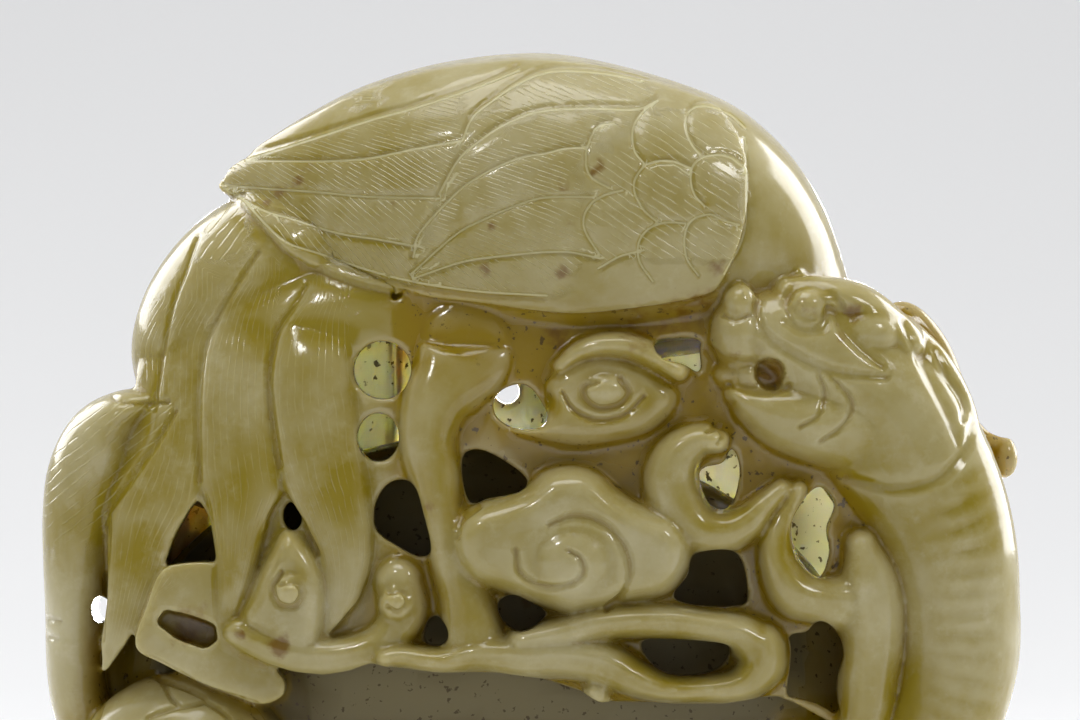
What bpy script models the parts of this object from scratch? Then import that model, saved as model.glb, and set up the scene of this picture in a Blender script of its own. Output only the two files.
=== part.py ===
"""An openwork jade carving: a long-tailed bird over clouds, with a dragon-headed tortoise under it.

The whole carving is one solid. Its forms are drawn on a squared sheet that is laid over the
front: squares across from the sheet's left edge, squares down from its top edge. Depths are in
the same squares, negative towards the viewer. Metres, +Z up, the front faces -Y.
"""

import math

import bmesh
import bpy
import numpy as np

# Real sizes, in metres
CARVING_WIDTH = 0.150
CARVING_DEPTH = 0.066
CLOUD_WALL = 0.0062
BACK_WALL = 0.0056
TAIL_WALL = 0.0062
WING_RISE = 0.0013
RIB_DEPTH = 0.0004
CREASE_DEPTH = 0.0009
RIB_PITCH = 0.0032
LARGE_DRILL = 0.0088
MIDDLE_DRILL = 0.0064
SMALL_DRILL = 0.0040
MOUTH_DRILL = 0.0046
MOUTH_DRILL_DEPTH = 0.0035

# The squared sheet
SHEET_SPAN = 987
SHEET_MIDDLE = 531
SHEET_GROUND = 828
SQUARE = CARVING_WIDTH / SHEET_SPAN
HALF_DEPTH = CARVING_DEPTH / 2 / SQUARE
DRAWN_HALF_DEPTH = 217
DEEP = HALF_DEPTH / DRAWN_HALF_DEPTH

# How finely the solid is worked
CLAY_GRAIN = 0.0009
GRID_STEP = 5
SMOOTH_TURNS = 3
MOST_TRIANGLES = 9700

JADE_COLOUR = (0.46, 0.45, 0.27, 1.0)
JADE_ROUGHNESS = 0.25

# Heights of the cloud ground and of its raised forms over the carving's round front
CLOUD_GROUND = -56
TAIL_GROUND = -36
BIRD_FULLNESS = 2.6

# Raised cloud bands on the front: squares across, squares down, half width, height of the crest
FRONT_BANDS = {
    "stem": [
        (466, 344, 44, -48), (464, 358, 48, -36), (452, 378, 42, -28), (435, 404, 34, -22),
        (428, 440, 29, -20), (436, 480, 26, -20), (443, 520, 21, -20), (452, 560, 22, -18),
        (466, 600, 27, -14), (474, 640, 34, -8),
    ],
    "low_band": [
        (386, 656, 12, -2), (402, 654, 13, -4), (440, 659, 15, -4), (480, 652, 19, 0), (520, 655, 23, 2),
        (560, 654, 24, 2), (600, 660, 24, 2), (632, 676, 20, 2), (664, 687, 15, 2), (700, 688, 15, 2),
        (738, 684, 19, 2), (760, 664, 26, 2), (758, 645, 26, 0),
    ],
    "upper_band": [
        (520, 640, 16, 0), (560, 632, 18, 2), (605, 621, 18, 2), (660, 619, 19, 0), (700, 624, 18, 0),
        (738, 632, 21, 0), (760, 650, 27, 0),
    ],
    "low_curtain": [(596, 690, 15, -10), (600, 720, 18, -14), (612, 760, 24, -30), (640, 800, 30, -40)],
    "crescent": [
        (715, 440, 14, -8), (696, 440, 19, -8), (676, 456, 25, -10), (669, 480, 28, -12), (676, 505, 29, -12),
        (696, 527, 25, -12), (722, 532, 22, -12), (746, 521, 19, -14), (763, 504, 14, -16), (780, 488, 11, -20),
    ],
    "hook": [
        (797, 489, 10, -24), (784, 515, 14, -22), (775, 540, 18, -18), (778, 565, 21, -14),
        (792, 590, 26, -10), (815, 599, 25, -10), (842, 602, 30, -10),
    ],
    "hook_leg": [
        (860, 544, 17, -14), (867, 574, 30, -10), (870, 606, 37, -8), (873, 640, 33, -8), (869, 676, 31, -10),
        (865, 718, 29, -14), (850, 770, 28, -24), (820, 805, 26, -44),
    ],
    "swirl_crest": [
        (560, 366, 8, -26), (578, 352, 11, -22), (600, 345, 13, -18), (628, 346, 14, -16), (652, 356, 14, -16),
        (668, 366, 12, -14), (678, 371, 11, -10),
    ],
    "scroll_bank": [
        (238, 632, 18, -22), (272, 648, 20, -20), (310, 656, 21, -20), (350, 654, 20, -20), (384, 640, 20, -22),
        (404, 612, 24, -24), (400, 580, 24, -28),
    ],
    "shell_rim_upper": [(170, 588, 22, -16), (205, 590, 22, -16)],
    "shell_rim_lower": [(150, 640, 16, -14), (180, 658, 20, -12), (220, 674, 22, -10), (262, 692, 21, -10)],
}

# Flat rounded bosses on the front: across, down, half width, half height, height of the crest
FRONT_BOSSES = {
    "swirl_heart": (604, 390, 27, 20, -16),
    "mushroom_heart": (573, 562, 56, 51, 12),
    "scroll_left_heart": (291, 590, 20, 20, -8),
    "scroll_right_heart": (398, 602, 20, 20, -10),
}

# Flat clouds on the front: their outline, height of the flat and width of the rounded edge
FRONT_PLATES = {
    "mushroom": (
        [
            (450, 538), (455, 519), (472, 504), (500, 495), (522, 487), (545, 469), (572, 464), (597, 471), (620, 490),
            (648, 505), (672, 513), (688, 530), (692, 552), (682, 578), (662, 596), (625, 603), (598, 611), (568, 614),
            (538, 604), (505, 592), (472, 580), (455, 562),
        ],
        2,
        24,
    ),
    "swirl": (
        [
            (553, 372), (575, 358), (605, 353), (640, 362), (662, 376), (676, 392), (672, 412), (650, 432), (615, 442),
            (575, 446), (540, 440), (512, 430), (535, 422), (548, 405), (545, 388),
        ],
        -28,
        18,
    ),
    "scroll_panel": (
        [(286, 528), (306, 540), (322, 566), (328, 600), (322, 645), (300, 660), (262, 640), (240, 620), (252, 590), (268, 555)],
        -22,
        18,
    ),
}

# The lower edge of the front cloud wall, and the wall's sides and top
FRONT_WALL_SPAN = (222, 914)
FRONT_WALL_TOP = [(222, 520), (290, 480), (330, 350), (380, 312), (440, 270), (800, 270), (850, 330), (914, 420)]
FRONT_WALL_FOOT = [
    (222, 634), (240, 648), (266, 661), (295, 670), (325, 673), (350, 669), (371, 661), (386, 664), (440, 670), (500, 670),
    (540, 676), (582, 690), (600, 700), (700, 702), (760, 700), (790, 700), (830, 722), (880, 760), (914, 770),
]

# Openings through the front cloud wall, each a closed outline, and the drilled ones by their centres
FRONT_OPENINGS = {
    "long_hole": [(398, 479), (415, 484), (424, 510), (432, 548), (420, 556), (398, 545), (378, 530), (375, 508), (384, 488)],
    "left_of_mushroom": [(464, 454), (480, 449), (503, 459), (527, 478), (520, 491), (488, 498), (471, 503), (463, 478)],
    "under_swirl": [(494, 400), (505, 388), (522, 384), (534, 391), (547, 414), (541, 427), (516, 428), (497, 417)],
    "wing_pit": [(655, 341), (696, 339), (699, 350), (699, 372), (682, 364), (660, 358)],
    "crescent_eye": [(699, 470), (722, 462), (731, 446), (739, 468), (734, 498), (722, 509), (706, 500)],
    "hook_eye": [(817, 486), (834, 503), (826, 528), (829, 552), (820, 577), (804, 566), (790, 538), (793, 513)],
    "trapezoid": [(694, 552), (736, 552), (747, 597), (734, 605), (694, 604), (672, 595), (687, 574)],
    "slot": [(640, 642), (662, 637), (722, 641), (728, 654), (716, 668), (688, 674), (658, 668)],
    "under_mushroom": [(499, 600), (514, 593), (530, 600), (546, 611), (534, 625), (516, 629), (501, 616)],
    "drop": [(427, 622), (437, 614), (447, 624), (449, 636), (441, 644), (426, 641)],
    "leg_gap": [(788, 635), (806, 631), (818, 619), (834, 629), (843, 652), (837, 690), (842, 740), (778, 720), (790, 660)],
    "curtain_gap": [(622, 706), (700, 704), (784, 696), (842, 722), (842, 800), (690, 800), (640, 760)],
}
FRONT_DRILLED = {
    "large": (383, 370, LARGE_DRILL, 1.0),
    "middle": (379, 437, MIDDLE_DRILL, 1.15),
    "small": (294, 515, SMALL_DRILL * 0.75, 1.5),
}

TAIL_DRILLED = {"large": FRONT_DRILLED["large"], "middle": FRONT_DRILLED["middle"]}

# The far side repeats the clouds more plainly
BACK_BANDS = {
    "stem": [(460, 346, 46, -44), (445, 384, 36, -24), (430, 450, 28, -18), (440, 540, 24, -16), (470, 640, 30, -10)],
    "long_band": [
        (300, 668, 16, -8), (380, 650, 20, -4), (480, 645, 24, 0), (590, 655, 24, 0), (690, 640, 22, -2),
        (770, 600, 24, -4), (800, 540, 22, -8), (775, 490, 16, -10),
    ],
    "crescent": [(690, 440, 16, -8), (660, 470, 26, -8), (676, 515, 26, -8), (720, 528, 18, -12)],
    "swirl_crest": [(520, 372, 14, -18), (580, 346, 20, -14), (650, 356, 18, -14), (676, 380, 12, -16)],
    "root": [(500, 690, 26, -10), (520, 740, 30, -20), (560, 790, 34, -40)],
}
BACK_BOSSES = {
    "swirl": (590, 398, 72, 50, -18),
    "swirl_heart": (592, 396, 28, 22, -6),
    "cloud_left": (500, 556, 48, 44, 2),
    "cloud_top": (560, 522, 50, 46, 2),
    "cloud_right": (622, 560, 48, 42, 2),
}
BACK_WALL_SPAN = (222, 985)
BACK_WALL_TOP = [
    (222, 520), (290, 480), (330, 350), (380, 312), (440, 270), (830, 270), (860, 316), (900, 356), (940, 412),
    (965, 470), (985, 560),
]
BACK_WALL_FOOT = [(222, 700), (350, 732), (531, 748), (700, 744), (985, 720)]
BACK_OPENINGS = {
    "far_long_hole": [(370, 480), (398, 490), (404, 540), (384, 560), (366, 530)],
    "far_right_gap": [(700, 570), (736, 560), (744, 600), (712, 612)],
    "far_left_gap": [(250, 520), (275, 510), (284, 560), (262, 580)],
}
BACK_DRILLED = {
    "far_swirl_hole": (512, 398, MIDDLE_DRILL * 0.9, 1.0),
    "far_large_hole": (330, 430, LARGE_DRILL * 0.8, 1.0),
    "far_upper_hole": (742, 400, MIDDLE_DRILL, 1.0),
    "far_low_hole": (620, 700, SMALL_DRILL, 1.2),
}

# Round masses: squares across, squares down, depth, half width, half thickness
BIRD_BODY = [
    (214, 184, 0, 3, 4), (236, 183, 0, 20, 32), (262, 188, 0, 48, 68), (300, 198, 0, 83, 108), (360, 203, 0, 119, 150),
    (440, 205, 0, 145, 182), (530, 207, 0, 157, 199), (600, 211, 0, 153, 201), (680, 218, 0, 138, 192),
    (740, 226, 0, 120, 172), (790, 242, 0, 92, 139), (825, 265, 0, 61, 95), (846, 287, 0, 26, 42), (853, 292, 0, 4, 6),
]
MASSES = {
    "rump": [
        (400, 215, 0, 60, 110), (330, 250, 0, 90, 128), (272, 300, 0, 112, 126), (238, 355, 0, 114, 112), (222, 405, 0, 94, 92),
        (212, 450, 0, 62, 66),
    ],
    "leaf": [
        (150, 400, -48, 12, 40), (124, 412, -44, 24, 52), (103, 436, -36, 38, 62), (86, 474, -30, 42, 66),
        (78, 520, -26, 40, 64), (73, 570, -24, 34, 60), (71, 620, -20, 30, 56), (71, 670, -16, 29, 54),
        (80, 716, -10, 30, 54), (108, 764, -4, 32, 56), (160, 798, 0, 30, 60),
    ],
    "far_leaf": [
        (160, 420, 60, 30, 36), (120, 480, 56, 38, 44), (104, 550, 54, 36, 44), (100, 640, 44, 32, 40),
        (120, 720, 30, 34, 44), (170, 790, 10, 34, 50),
    ],
    "neck": [
        (820, 800, -20, 66, 84), (890, 776, -36, 68, 84), (934, 724, -50, 66, 84), (954, 660, -60, 67, 84),
        (953, 600, -66, 69, 84), (946, 550, -72, 73, 84), (928, 500, -80, 79, 82), (900, 452, -90, 84, 78),
        (866, 410, -104, 82, 72), (830, 374, -120, 76, 64), (795, 346, -132, 62, 56), (764, 334, -140, 46, 48),
        (740, 334, -146, 32, 40),
    ],
    "jaw": [
        (734, 392, -158, 12, 24), (752, 404, -154, 24, 36), (782, 416, -146, 36, 46), (830, 424, -130, 46, 54),
        (880, 432, -110, 50, 58),
    ],
    "far_bird_neck": [
        (780, 244, 60, 50, 60), (822, 306, 100, 40, 44), (826, 372, 132, 40, 36), (786, 414, 152, 34, 32),
        (744, 424, 162, 32, 30), (716, 424, 168, 28, 26),
    ],
    "far_bird_beak": [(716, 426, 170, 16, 18), (690, 438, 172, 10, 12), (668, 452, 168, 5, 7)],
    "far_bird_crest": [(752, 402, 176, 12, 12), (776, 380, 172, 12, 12), (800, 366, 160, 8, 9)],
    "ear": [(884, 316, -60, 8, 14), (906, 318, -58, 17, 18), (932, 346, -56, 18, 18), (954, 382, -56, 12, 16), (968, 412, -56, 5, 12)],
    "crown": [(786, 294, -140, 16, 26), (820, 296, -136, 20, 36), (858, 308, -122, 24, 42), (896, 340, -104, 26, 46)],
    "mane": [(905, 326, -96, 12, 26), (934, 368, -98, 20, 30), (958, 410, -94, 18, 30), (972, 450, -86, 12, 26)],
    "far_cloud_edge": [
        (846, 296, 128, 18, 26), (884, 338, 112, 18, 26), (924, 392, 92, 18, 26), (950, 450, 76, 18, 26),
        (968, 530, 58, 18, 28), (970, 620, 46, 18, 30), (956, 720, 40, 24, 34), (900, 790, 40, 30, 40),
    ],
    "wisp": [(930, 392, 20, 20, 24), (962, 414, 30, 12, 14), (988, 438, 34, 9, 12), (1003, 446, 34, 9, 12)],
    "far_wisp_root": [(880, 380, 10, 40, 50), (930, 392, 16, 24, 40)],
}

# Tail feathers: squares across, squares down, half width, height of the crest
TAIL_FEATHERS = {
    "left_feather": [
        (196, 300, 30, -36), (176, 340, 34, -18), (174, 385, 32, -10), (174, 425, 32, -6), (170, 460, 36, -2), (155, 505, 46, 0),
        (143, 535, 37, 0), (136, 567, 30, 0), (129, 597, 24, 0), (118, 640, 17, -4), (106, 664, 6, -14),
    ],
    "middle_feather": [
        (262, 276, 20, -36), (248, 305, 28, -18), (240, 340, 34, -6), (236, 385, 38, 2), (236, 430, 39, 4), (240, 470, 41, 4),
        (244, 495, 38, 4), (239, 530, 26, 4), (236, 567, 18, 2), (231, 600, 12, 0), (223, 627, 4, -8),
    ],
    "right_feather": [
        (330, 296, 22, -36), (318, 322, 30, -14), (312, 350, 38, 0), (311, 380, 42, 6), (314, 420, 43, 8), (322, 465, 42, 8),
        (332, 500, 38, 8), (342, 535, 32, 8), (346, 570, 24, 6), (342, 600, 17, 2), (330, 626, 9, -6), (320, 640, 4, -14),
    ],
}
TAIL_SPAN = (92, 392)
TAIL_TOP = [(92, 272), (392, 272)]
TAIL_FOOT = [
    (92, 672), (106, 671), (125, 645), (140, 620), (152, 590), (165, 565), (176, 534), (190, 510), (199, 498), (211, 517),
    (218, 560), (219, 610), (224, 630), (240, 620), (256, 570), (270, 512), (286, 488), (306, 520), (322, 552), (325, 600),
    (320, 642), (336, 626), (360, 598), (374, 560), (376, 520), (366, 480), (392, 460),
]
TAIL_DEPTH = 166
TAIL_MIDDLE = 430
TAIL_SIDE = [(200, 205), (300, 150), (385, 112), (450, 85), (520, 50), (650, 20)]
TAIL_OPENINGS = {
    "outside": [
        (40, 150), (222, 190), (172, 270), (150, 318), (136, 360), (132, 400), (126, 440), (112, 480), (106, 510), (107, 560),
        (107, 600), (101, 640), (97, 676), (40, 700),
    ],
}

# The block under the tail and the slot sunk in it
SHELL_BLOCK = [
    (169, 563), (222, 564), (222, 600), (226, 634), (266, 664), (286, 684), (272, 704), (201, 680), (136, 644), (150, 600),
    (163, 572),
]
SHELL_BLOCK_DEPTH = (-142, -60)

# Ellipsoids: centre across, down, depth, then half sizes across, up and deep
ELLIPSOIDS = {
    "inner_dome": (490, 718, 26, 384, 284, 112),
    "base": (506, 806, 6, 400, 70, 160),
    "front_foot_left": (330, 812, -104, 84, 50, 60),
    "front_foot_right": (740, 812, -104, 84, 50, 60),
    "back_foot_left": (300, 812, 100, 84, 50, 60),
    "back_foot_right": (760, 812, 100, 84, 50, 60),
    "shell_scute": (184, 776, -64, 112, 104, 92),
    "nose": (738, 304, -166, 17, 20, 22),
    "muzzle": (738, 334, -152, 30, 40, 38),
    "eyeball": (805, 306, -172, 17, 17, 18),
    "cheek": (862, 334, -146, 34, 26, 26),
    "wisp_knob": (1012, 459, 34, 13, 21, 15),
    "far_bird_head": (722, 420, 168, 34, 26, 28),
}

SHELL_SLOT = [(157, 622), (166, 608), (192, 614), (217, 623), (219, 640), (206, 648), (178, 638)]
SHELL_SLOT_DEPTH = (-200, -104)

# Places sunk with a drill that don't go through: across, down, diameter and how deep
BLIND_DRILLED = {
    "mouth_corner": (768, 373, MOUTH_DRILL, MOUTH_DRILL_DEPTH),
}

# The outline of the folded wing, and of the shoulder's scale feathers
WING = [
    (222, 182), (262, 142), (320, 108), (400, 74), (470, 58), (560, 56), (650, 76), (712, 104), (742, 150), (747, 200),
    (738, 245), (722, 280), (700, 297), (620, 310), (560, 313), (470, 302), (370, 290), (300, 262), (262, 228),
]
SCALE_RADIUS = 25

# Lines sunk into the front: squares across, squares down, half width
CREASES = {
    "mouth": [(706, 350, 8), (722, 360, 7), (750, 364, 7), (770, 374, 7)],
    "lower_lip": [(728, 385, 5), (746, 389, 6), (764, 391, 6), (786, 386, 5)],
    "muzzle_fold": [(755, 304, 5), (757, 321, 6), (768, 339, 7), (790, 354, 7), (816, 367, 7), (844, 374, 7), (884, 377, 5)],
    "eye_hollow": [(784, 322, 6), (800, 330, 7), (820, 328, 7), (829, 311, 7), (840, 328, 7), (858, 348, 7), (880, 366, 5)],
    "brow_line": [(783, 304, 5), (792, 288, 6), (812, 284, 6), (830, 294, 6), (840, 306, 5)],
    "jaw_line": [(972, 424, 6), (962, 452, 8), (935, 478, 8), (890, 488, 8), (845, 478, 7)],
    "mane_upper": [(902, 322, 5), (922, 366, 7), (938, 396, 8), (950, 420, 8), (958, 444, 6)],
    "mane_lower": [(934, 350, 5), (948, 376, 6), (962, 400, 6), (962, 420, 5)],
}


def metres(across, down, depth):
    """A point of the squared sheet as a point in the part's frame."""
    return (across - SHEET_MIDDLE) * SQUARE, depth * DEEP * SQUARE, (SHEET_GROUND - down) * SQUARE


def round_front(across, down):
    """The depth of the carving's round front under a place on the sheet, in drawn squares."""
    side = np.clip(np.abs((across - SHEET_MIDDLE) / 505), 0, 0.995)
    rise = np.clip(np.abs((SHEET_GROUND - down - 390) / 440), 0, 0.995)
    return -DRAWN_HALF_DEPTH * np.sqrt(1 - side**2.6) * (1 - rise**2.8) ** 0.4545


def smooth_path(points, steps, closed=False):
    """Catmull-Rom points through the given ones, each number of a point interpolated alike."""
    knots = np.array(points, float)
    count = len(knots)
    spans = count if closed else count - 1
    made = []
    for i in range(spans):
        if closed:
            a, b, c, d = (knots[(i + k) % count] for k in (-1, 0, 1, 2))
        else:
            b, c = knots[i], knots[i + 1]
            a = knots[i - 1] if i else 2 * b - c
            d = knots[i + 2] if i + 2 < count else 2 * c - b
        for k in range(steps):
            t = k / steps
            made.append(
                0.5 * (2 * b + (c - a) * t + (2 * a - 5 * b + 4 * c - d) * t**2 + (3 * b - a - 3 * c + d) * t**3)
            )
    if not closed:
        made.append(knots[-1])
    return np.array(made)


def near_path(across, down, path):
    """Distance of each place from a path on the sheet, and the path's other numbers where it is nearest."""
    best = np.full(across.shape, 1e9)
    values = np.zeros(across.shape + (path.shape[1] - 2,))
    for start, end in zip(path[:-1], path[1:]):
        run = end[:2] - start[:2]
        share = ((across - start[0]) * run[0] + (down - start[1]) * run[1]) / max(run @ run, 1e-9)
        share = np.clip(share, 0, 1)
        gap = np.hypot(across - start[0] - share * run[0], down - start[1] - share * run[1])
        closer = gap < best
        best[closer] = gap[closer]
        values[closer] = (start[2:] + share[closer][:, None] * (end - start)[2:])
    return best, values


def inside(across, down, outline):
    """Which places lie within a closed outline on the sheet."""
    found = np.zeros(across.shape, bool)
    for (x0, y0), (x1, y1) in zip(outline, np.roll(outline, -1, axis=0)):
        if y0 == y1:
            continue
        crosses = ((y0 > down) != (y1 > down)) & (across < (x1 - x0) * (down - y0) / (y1 - y0) + x0)
        found ^= crosses
    return found


def tail_front(across, down):
    """The depth of the surface that the tail feathers lie on."""
    sides = np.array(TAIL_SIDE, float)
    left = np.interp(down, sides[:, 0], sides[:, 1])
    share = np.clip((TAIL_MIDDLE - across) / (TAIL_MIDDLE - left), 0, 0.99)
    return -TAIL_DEPTH * np.sqrt(1 - share**2.5)


def relief(across, down, ground, bands, bosses, plates):
    """Height of a wall's relief over its surface: the highest of the ground and each raised form."""
    height = np.full(across.shape, float(ground))
    for points in bands.values():
        gap, found = near_path(across, down, smooth_path(points, 4))
        half, crest = np.moveaxis(found, -1, 0)
        rise = ground + (crest - ground) * np.sqrt(1 - np.clip(gap / half, 0, 1) ** 2.6)
        height = np.where(gap < half, np.maximum(height, rise), height)
    for x, y, wide, high, crest in bosses.values():
        part = np.hypot((across - x) / wide, (down - y) / high)
        rise = ground + (crest - ground) * np.sqrt(1 - np.clip(part, 0, 1) ** 3)
        height = np.where(part < 1, np.maximum(height, rise), height)
    for outline, flat, edge in plates.values():
        ring = smooth_path(outline, 4, closed=True)
        gap, _ = near_path(across, down, np.vstack([ring, ring[:1]]))
        rise = ground + (flat - ground) * np.sqrt(1 - (1 - np.clip(gap / edge, 0, 1)) ** 2)
        height = np.where(inside(across, down, ring), np.maximum(height, rise), height)
    return height


def drill_outline(across, down, diameter, tallness):
    """A drilled hole's outline on the sheet."""
    radius = diameter / 2 / SQUARE
    turn = np.linspace(0, 2 * math.pi, 16, endpoint=False)
    return np.column_stack([across + radius * np.cos(turn), down + radius * tallness * np.sin(turn)])


def new_mesh_object(name, bm):
    """The bmesh as a new object in the scene."""
    mesh = bpy.data.meshes.new(name)
    bm.to_mesh(mesh)
    bm.free()
    obj = bpy.data.objects.new(name, mesh)
    bpy.context.scene.collection.objects.link(obj)
    return obj


def relief_wall(name, surface, ground, wall, span, top, foot, forms, far=False):
    """A wall of even thickness that follows a surface, with its forms raised on it."""
    top, foot = np.array(top, float), np.array(foot, float)
    tall = foot[:, 1].max() - top[:, 1].min()
    bm = bmesh.new()
    bmesh.ops.create_grid(
        bm, x_segments=int((span[1] - span[0]) / GRID_STEP), y_segments=int(tall / GRID_STEP), size=1
    )
    flat = np.array([v.co for v in bm.verts])
    across = span[0] + (flat[:, 0] + 1) / 2 * (span[1] - span[0])
    high = np.interp(across, top[:, 0], top[:, 1])
    low = np.interp(across, foot[:, 0], foot[:, 1])
    down = high + (1 - flat[:, 1]) / 2 * (low - high)
    side = -1 if far else 1
    carved = side * (surface(across, down) - relief(across, down, ground, *forms))
    inner = side * (surface(across, down) - ground + wall / SQUARE / DEEP)
    made = bmesh.ops.extrude_face_region(bm, geom=list(bm.faces))
    backs = {g for g in made["geom"] if isinstance(g, bmesh.types.BMVert)}
    fronts = [v for v in bm.verts if v not in backs]
    place = {tuple(vert.co): i for i, vert in enumerate(fronts)}
    for vert in backs:
        i = place[tuple(vert.co)]
        vert.co = metres(across[i], down[i], inner[i])
    for i, vert in enumerate(fronts):
        vert.co = metres(across[i], down[i], carved[i])
    bmesh.ops.recalc_face_normals(bm, faces=bm.faces)
    return new_mesh_object(name, bm)


def prism(name, outline, near, far):
    """A cutter: a closed outline on the sheet, run from one depth to another."""
    bm = bmesh.new()
    ring = [bm.verts.new(metres(x, y, near)) for x, y in outline]
    face = bm.faces.new(ring)
    made = bmesh.ops.extrude_face_region(bm, geom=[face])
    shift = metres(SHEET_MIDDLE, SHEET_GROUND, far - near)
    moved = [g for g in made["geom"] if isinstance(g, bmesh.types.BMVert)]
    bmesh.ops.translate(bm, verts=moved, vec=shift)
    bmesh.ops.recalc_face_normals(bm, faces=bm.faces)
    return new_mesh_object(name, bm)


def swept(name, points, upright=False, fullness=2.0, sides=20, rings=44):
    """A closed mass along a path: a sphere's rings, drawn out along it with round ends."""
    path = smooth_path(points, 8)
    centre = np.array([metres(x, y, depth) for x, y, depth in path[:, :3]])
    half = path[:, 3] * SQUARE
    thick = path[:, 4] * SQUARE * DEEP
    along = np.concatenate([[0], np.cumsum(np.linalg.norm(np.diff(centre, axis=0), axis=1))])
    run = np.gradient(centre, axis=0)
    start_cap = 0 if upright else min(half[0], thick[0])
    end_cap = 0 if upright else min(half[-1], thick[-1])
    bm = bmesh.new()
    bmesh.ops.create_uvsphere(bm, u_segments=sides, v_segments=rings, radius=1)
    for vert in bm.verts:
        share = math.acos(max(-1, min(1, vert.co.z))) / math.pi
        turn = math.atan2(vert.co.y, vert.co.x)
        s = share * (along[-1] + start_cap + end_cap) - start_cap
        on = min(max(s, 0), along[-1])
        shrink = 1.0
        if s < 0:
            shrink = math.sqrt(max(0, 1 - (s / start_cap) ** 2))
        if s > along[-1] and end_cap:
            shrink = math.sqrt(max(0, 1 - ((s - on) / end_cap) ** 2))
        if share < 1e-4 or share > 1 - 1e-4:
            shrink = 0
        ahead = np.array([np.interp(on, along, run[:, k]) for k in range(3)])
        ahead /= np.linalg.norm(ahead)
        middle = np.array([np.interp(on, along, centre[:, k]) for k in range(3)]) + ahead * (s - on)
        wide = np.array([0.0, 0.0, 1.0])
        deep = np.array([0.0, 1.0, 0.0])
        if not upright:
            wide = np.array([-ahead[2], 0.0, ahead[0]])
            wide /= np.linalg.norm(wide)
            deep = np.cross(wide, ahead)
        power = 2 / fullness
        out = math.copysign(abs(math.cos(turn)) ** power, math.cos(turn))
        up = math.copysign(abs(math.sin(turn)) ** power, math.sin(turn))
        out *= np.interp(on, along, half) * shrink
        up *= np.interp(on, along, thick) * shrink
        vert.co = middle + wide * out + deep * up
    bmesh.ops.recalc_face_normals(bm, faces=bm.faces)
    return new_mesh_object(name, bm)


def ellipsoid(name, across, down, depth, wide, high, deep):
    """A ball drawn out along the frame's axes."""
    bm = bmesh.new()
    bmesh.ops.create_uvsphere(bm, u_segments=40, v_segments=24, radius=1)
    bmesh.ops.scale(bm, verts=bm.verts, vec=(wide * SQUARE, deep * DEEP * SQUARE, high * SQUARE))
    bmesh.ops.translate(bm, verts=bm.verts, vec=metres(across, down, depth))
    return new_mesh_object(name, bm)


def joined(name, objects):
    """One object that holds the meshes of several, which are removed."""
    bm = bmesh.new()
    for obj in objects:
        bm.from_mesh(obj.data)
        bpy.data.objects.remove(obj)
    return new_mesh_object(name, bm)


def evaluated(obj):
    """The object's mesh with its modifiers applied, as a new object that takes its place."""
    graph = bpy.context.evaluated_depsgraph_get()
    mesh = bpy.data.meshes.new_from_object(obj.evaluated_get(graph))
    made = bpy.data.objects.new(obj.name, mesh)
    bpy.context.scene.collection.objects.link(made)
    bpy.data.objects.remove(obj)
    return made


def fused(obj, grain):
    """One skin over shapes that run into each other."""
    remesh = obj.modifiers.new("one_skin", "REMESH")
    remesh.mode = "VOXEL"
    remesh.voxel_size = grain
    return evaluated(obj)


def cut(obj, cutters):
    """The object with each cutter taken out of it."""
    tool = joined("cutter", cutters)
    boolean = obj.modifiers.new("openings", "BOOLEAN")
    boolean.operation = "DIFFERENCE"
    boolean.object = tool
    boolean.use_self = True
    made = evaluated(obj)
    bpy.data.objects.remove(tool)
    return made


def pierced(obj, openings, drilled, near, far):
    """A wall with its openings cut through it."""
    cutters = [prism(name, smooth_path(points, 4, closed=True), near, far) for name, points in openings.items()]
    cutters += [prism(name, drill_outline(*hole), near, far) for name, hole in drilled.items()]
    return cut(obj, cutters)


def cloud_walls():
    """The pierced clouds of the front, and the plainer ones of the far side."""
    front = relief_wall(
        "front_clouds", round_front, CLOUD_GROUND, CLOUD_WALL, FRONT_WALL_SPAN, FRONT_WALL_TOP, FRONT_WALL_FOOT,
        (FRONT_BANDS, FRONT_BOSSES, FRONT_PLATES),
    )
    back = relief_wall(
        "far_clouds", round_front, CLOUD_GROUND, BACK_WALL, BACK_WALL_SPAN, BACK_WALL_TOP, BACK_WALL_FOOT,
        (BACK_BANDS, BACK_BOSSES, {}), far=True,
    )
    return [
        pierced(front, FRONT_OPENINGS, FRONT_DRILLED, -300, -60),
        pierced(back, BACK_OPENINGS, BACK_DRILLED, 60, 300),
    ]


def tails():
    """The tail feathers of the front, and the same on the far side."""
    made = []
    for name, far, near in (("tail", False, -300), ("far_tail", True, 0)):
        tail = relief_wall(
            name, tail_front, TAIL_GROUND, TAIL_WALL, TAIL_SPAN, TAIL_TOP, TAIL_FOOT, (TAIL_FEATHERS, {}, {}), far=far
        )
        made.append(pierced(tail, TAIL_OPENINGS, {} if far else TAIL_DRILLED, near - 50, near + 350))
    return made


def sheet_places(obj):
    """Each vertex's squares across and down, its depth and its outward direction."""
    count = len(obj.data.vertices)
    points = np.empty(count * 3)
    normals = np.empty(count * 3)
    obj.data.vertices.foreach_get("co", points)
    obj.data.vertices.foreach_get("normal", normals)
    points = points.reshape(-1, 3)
    across = points[:, 0] / SQUARE + SHEET_MIDDLE
    down = SHEET_GROUND - points[:, 2] / SQUARE
    return points, normals.reshape(-1, 3), across, down


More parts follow.
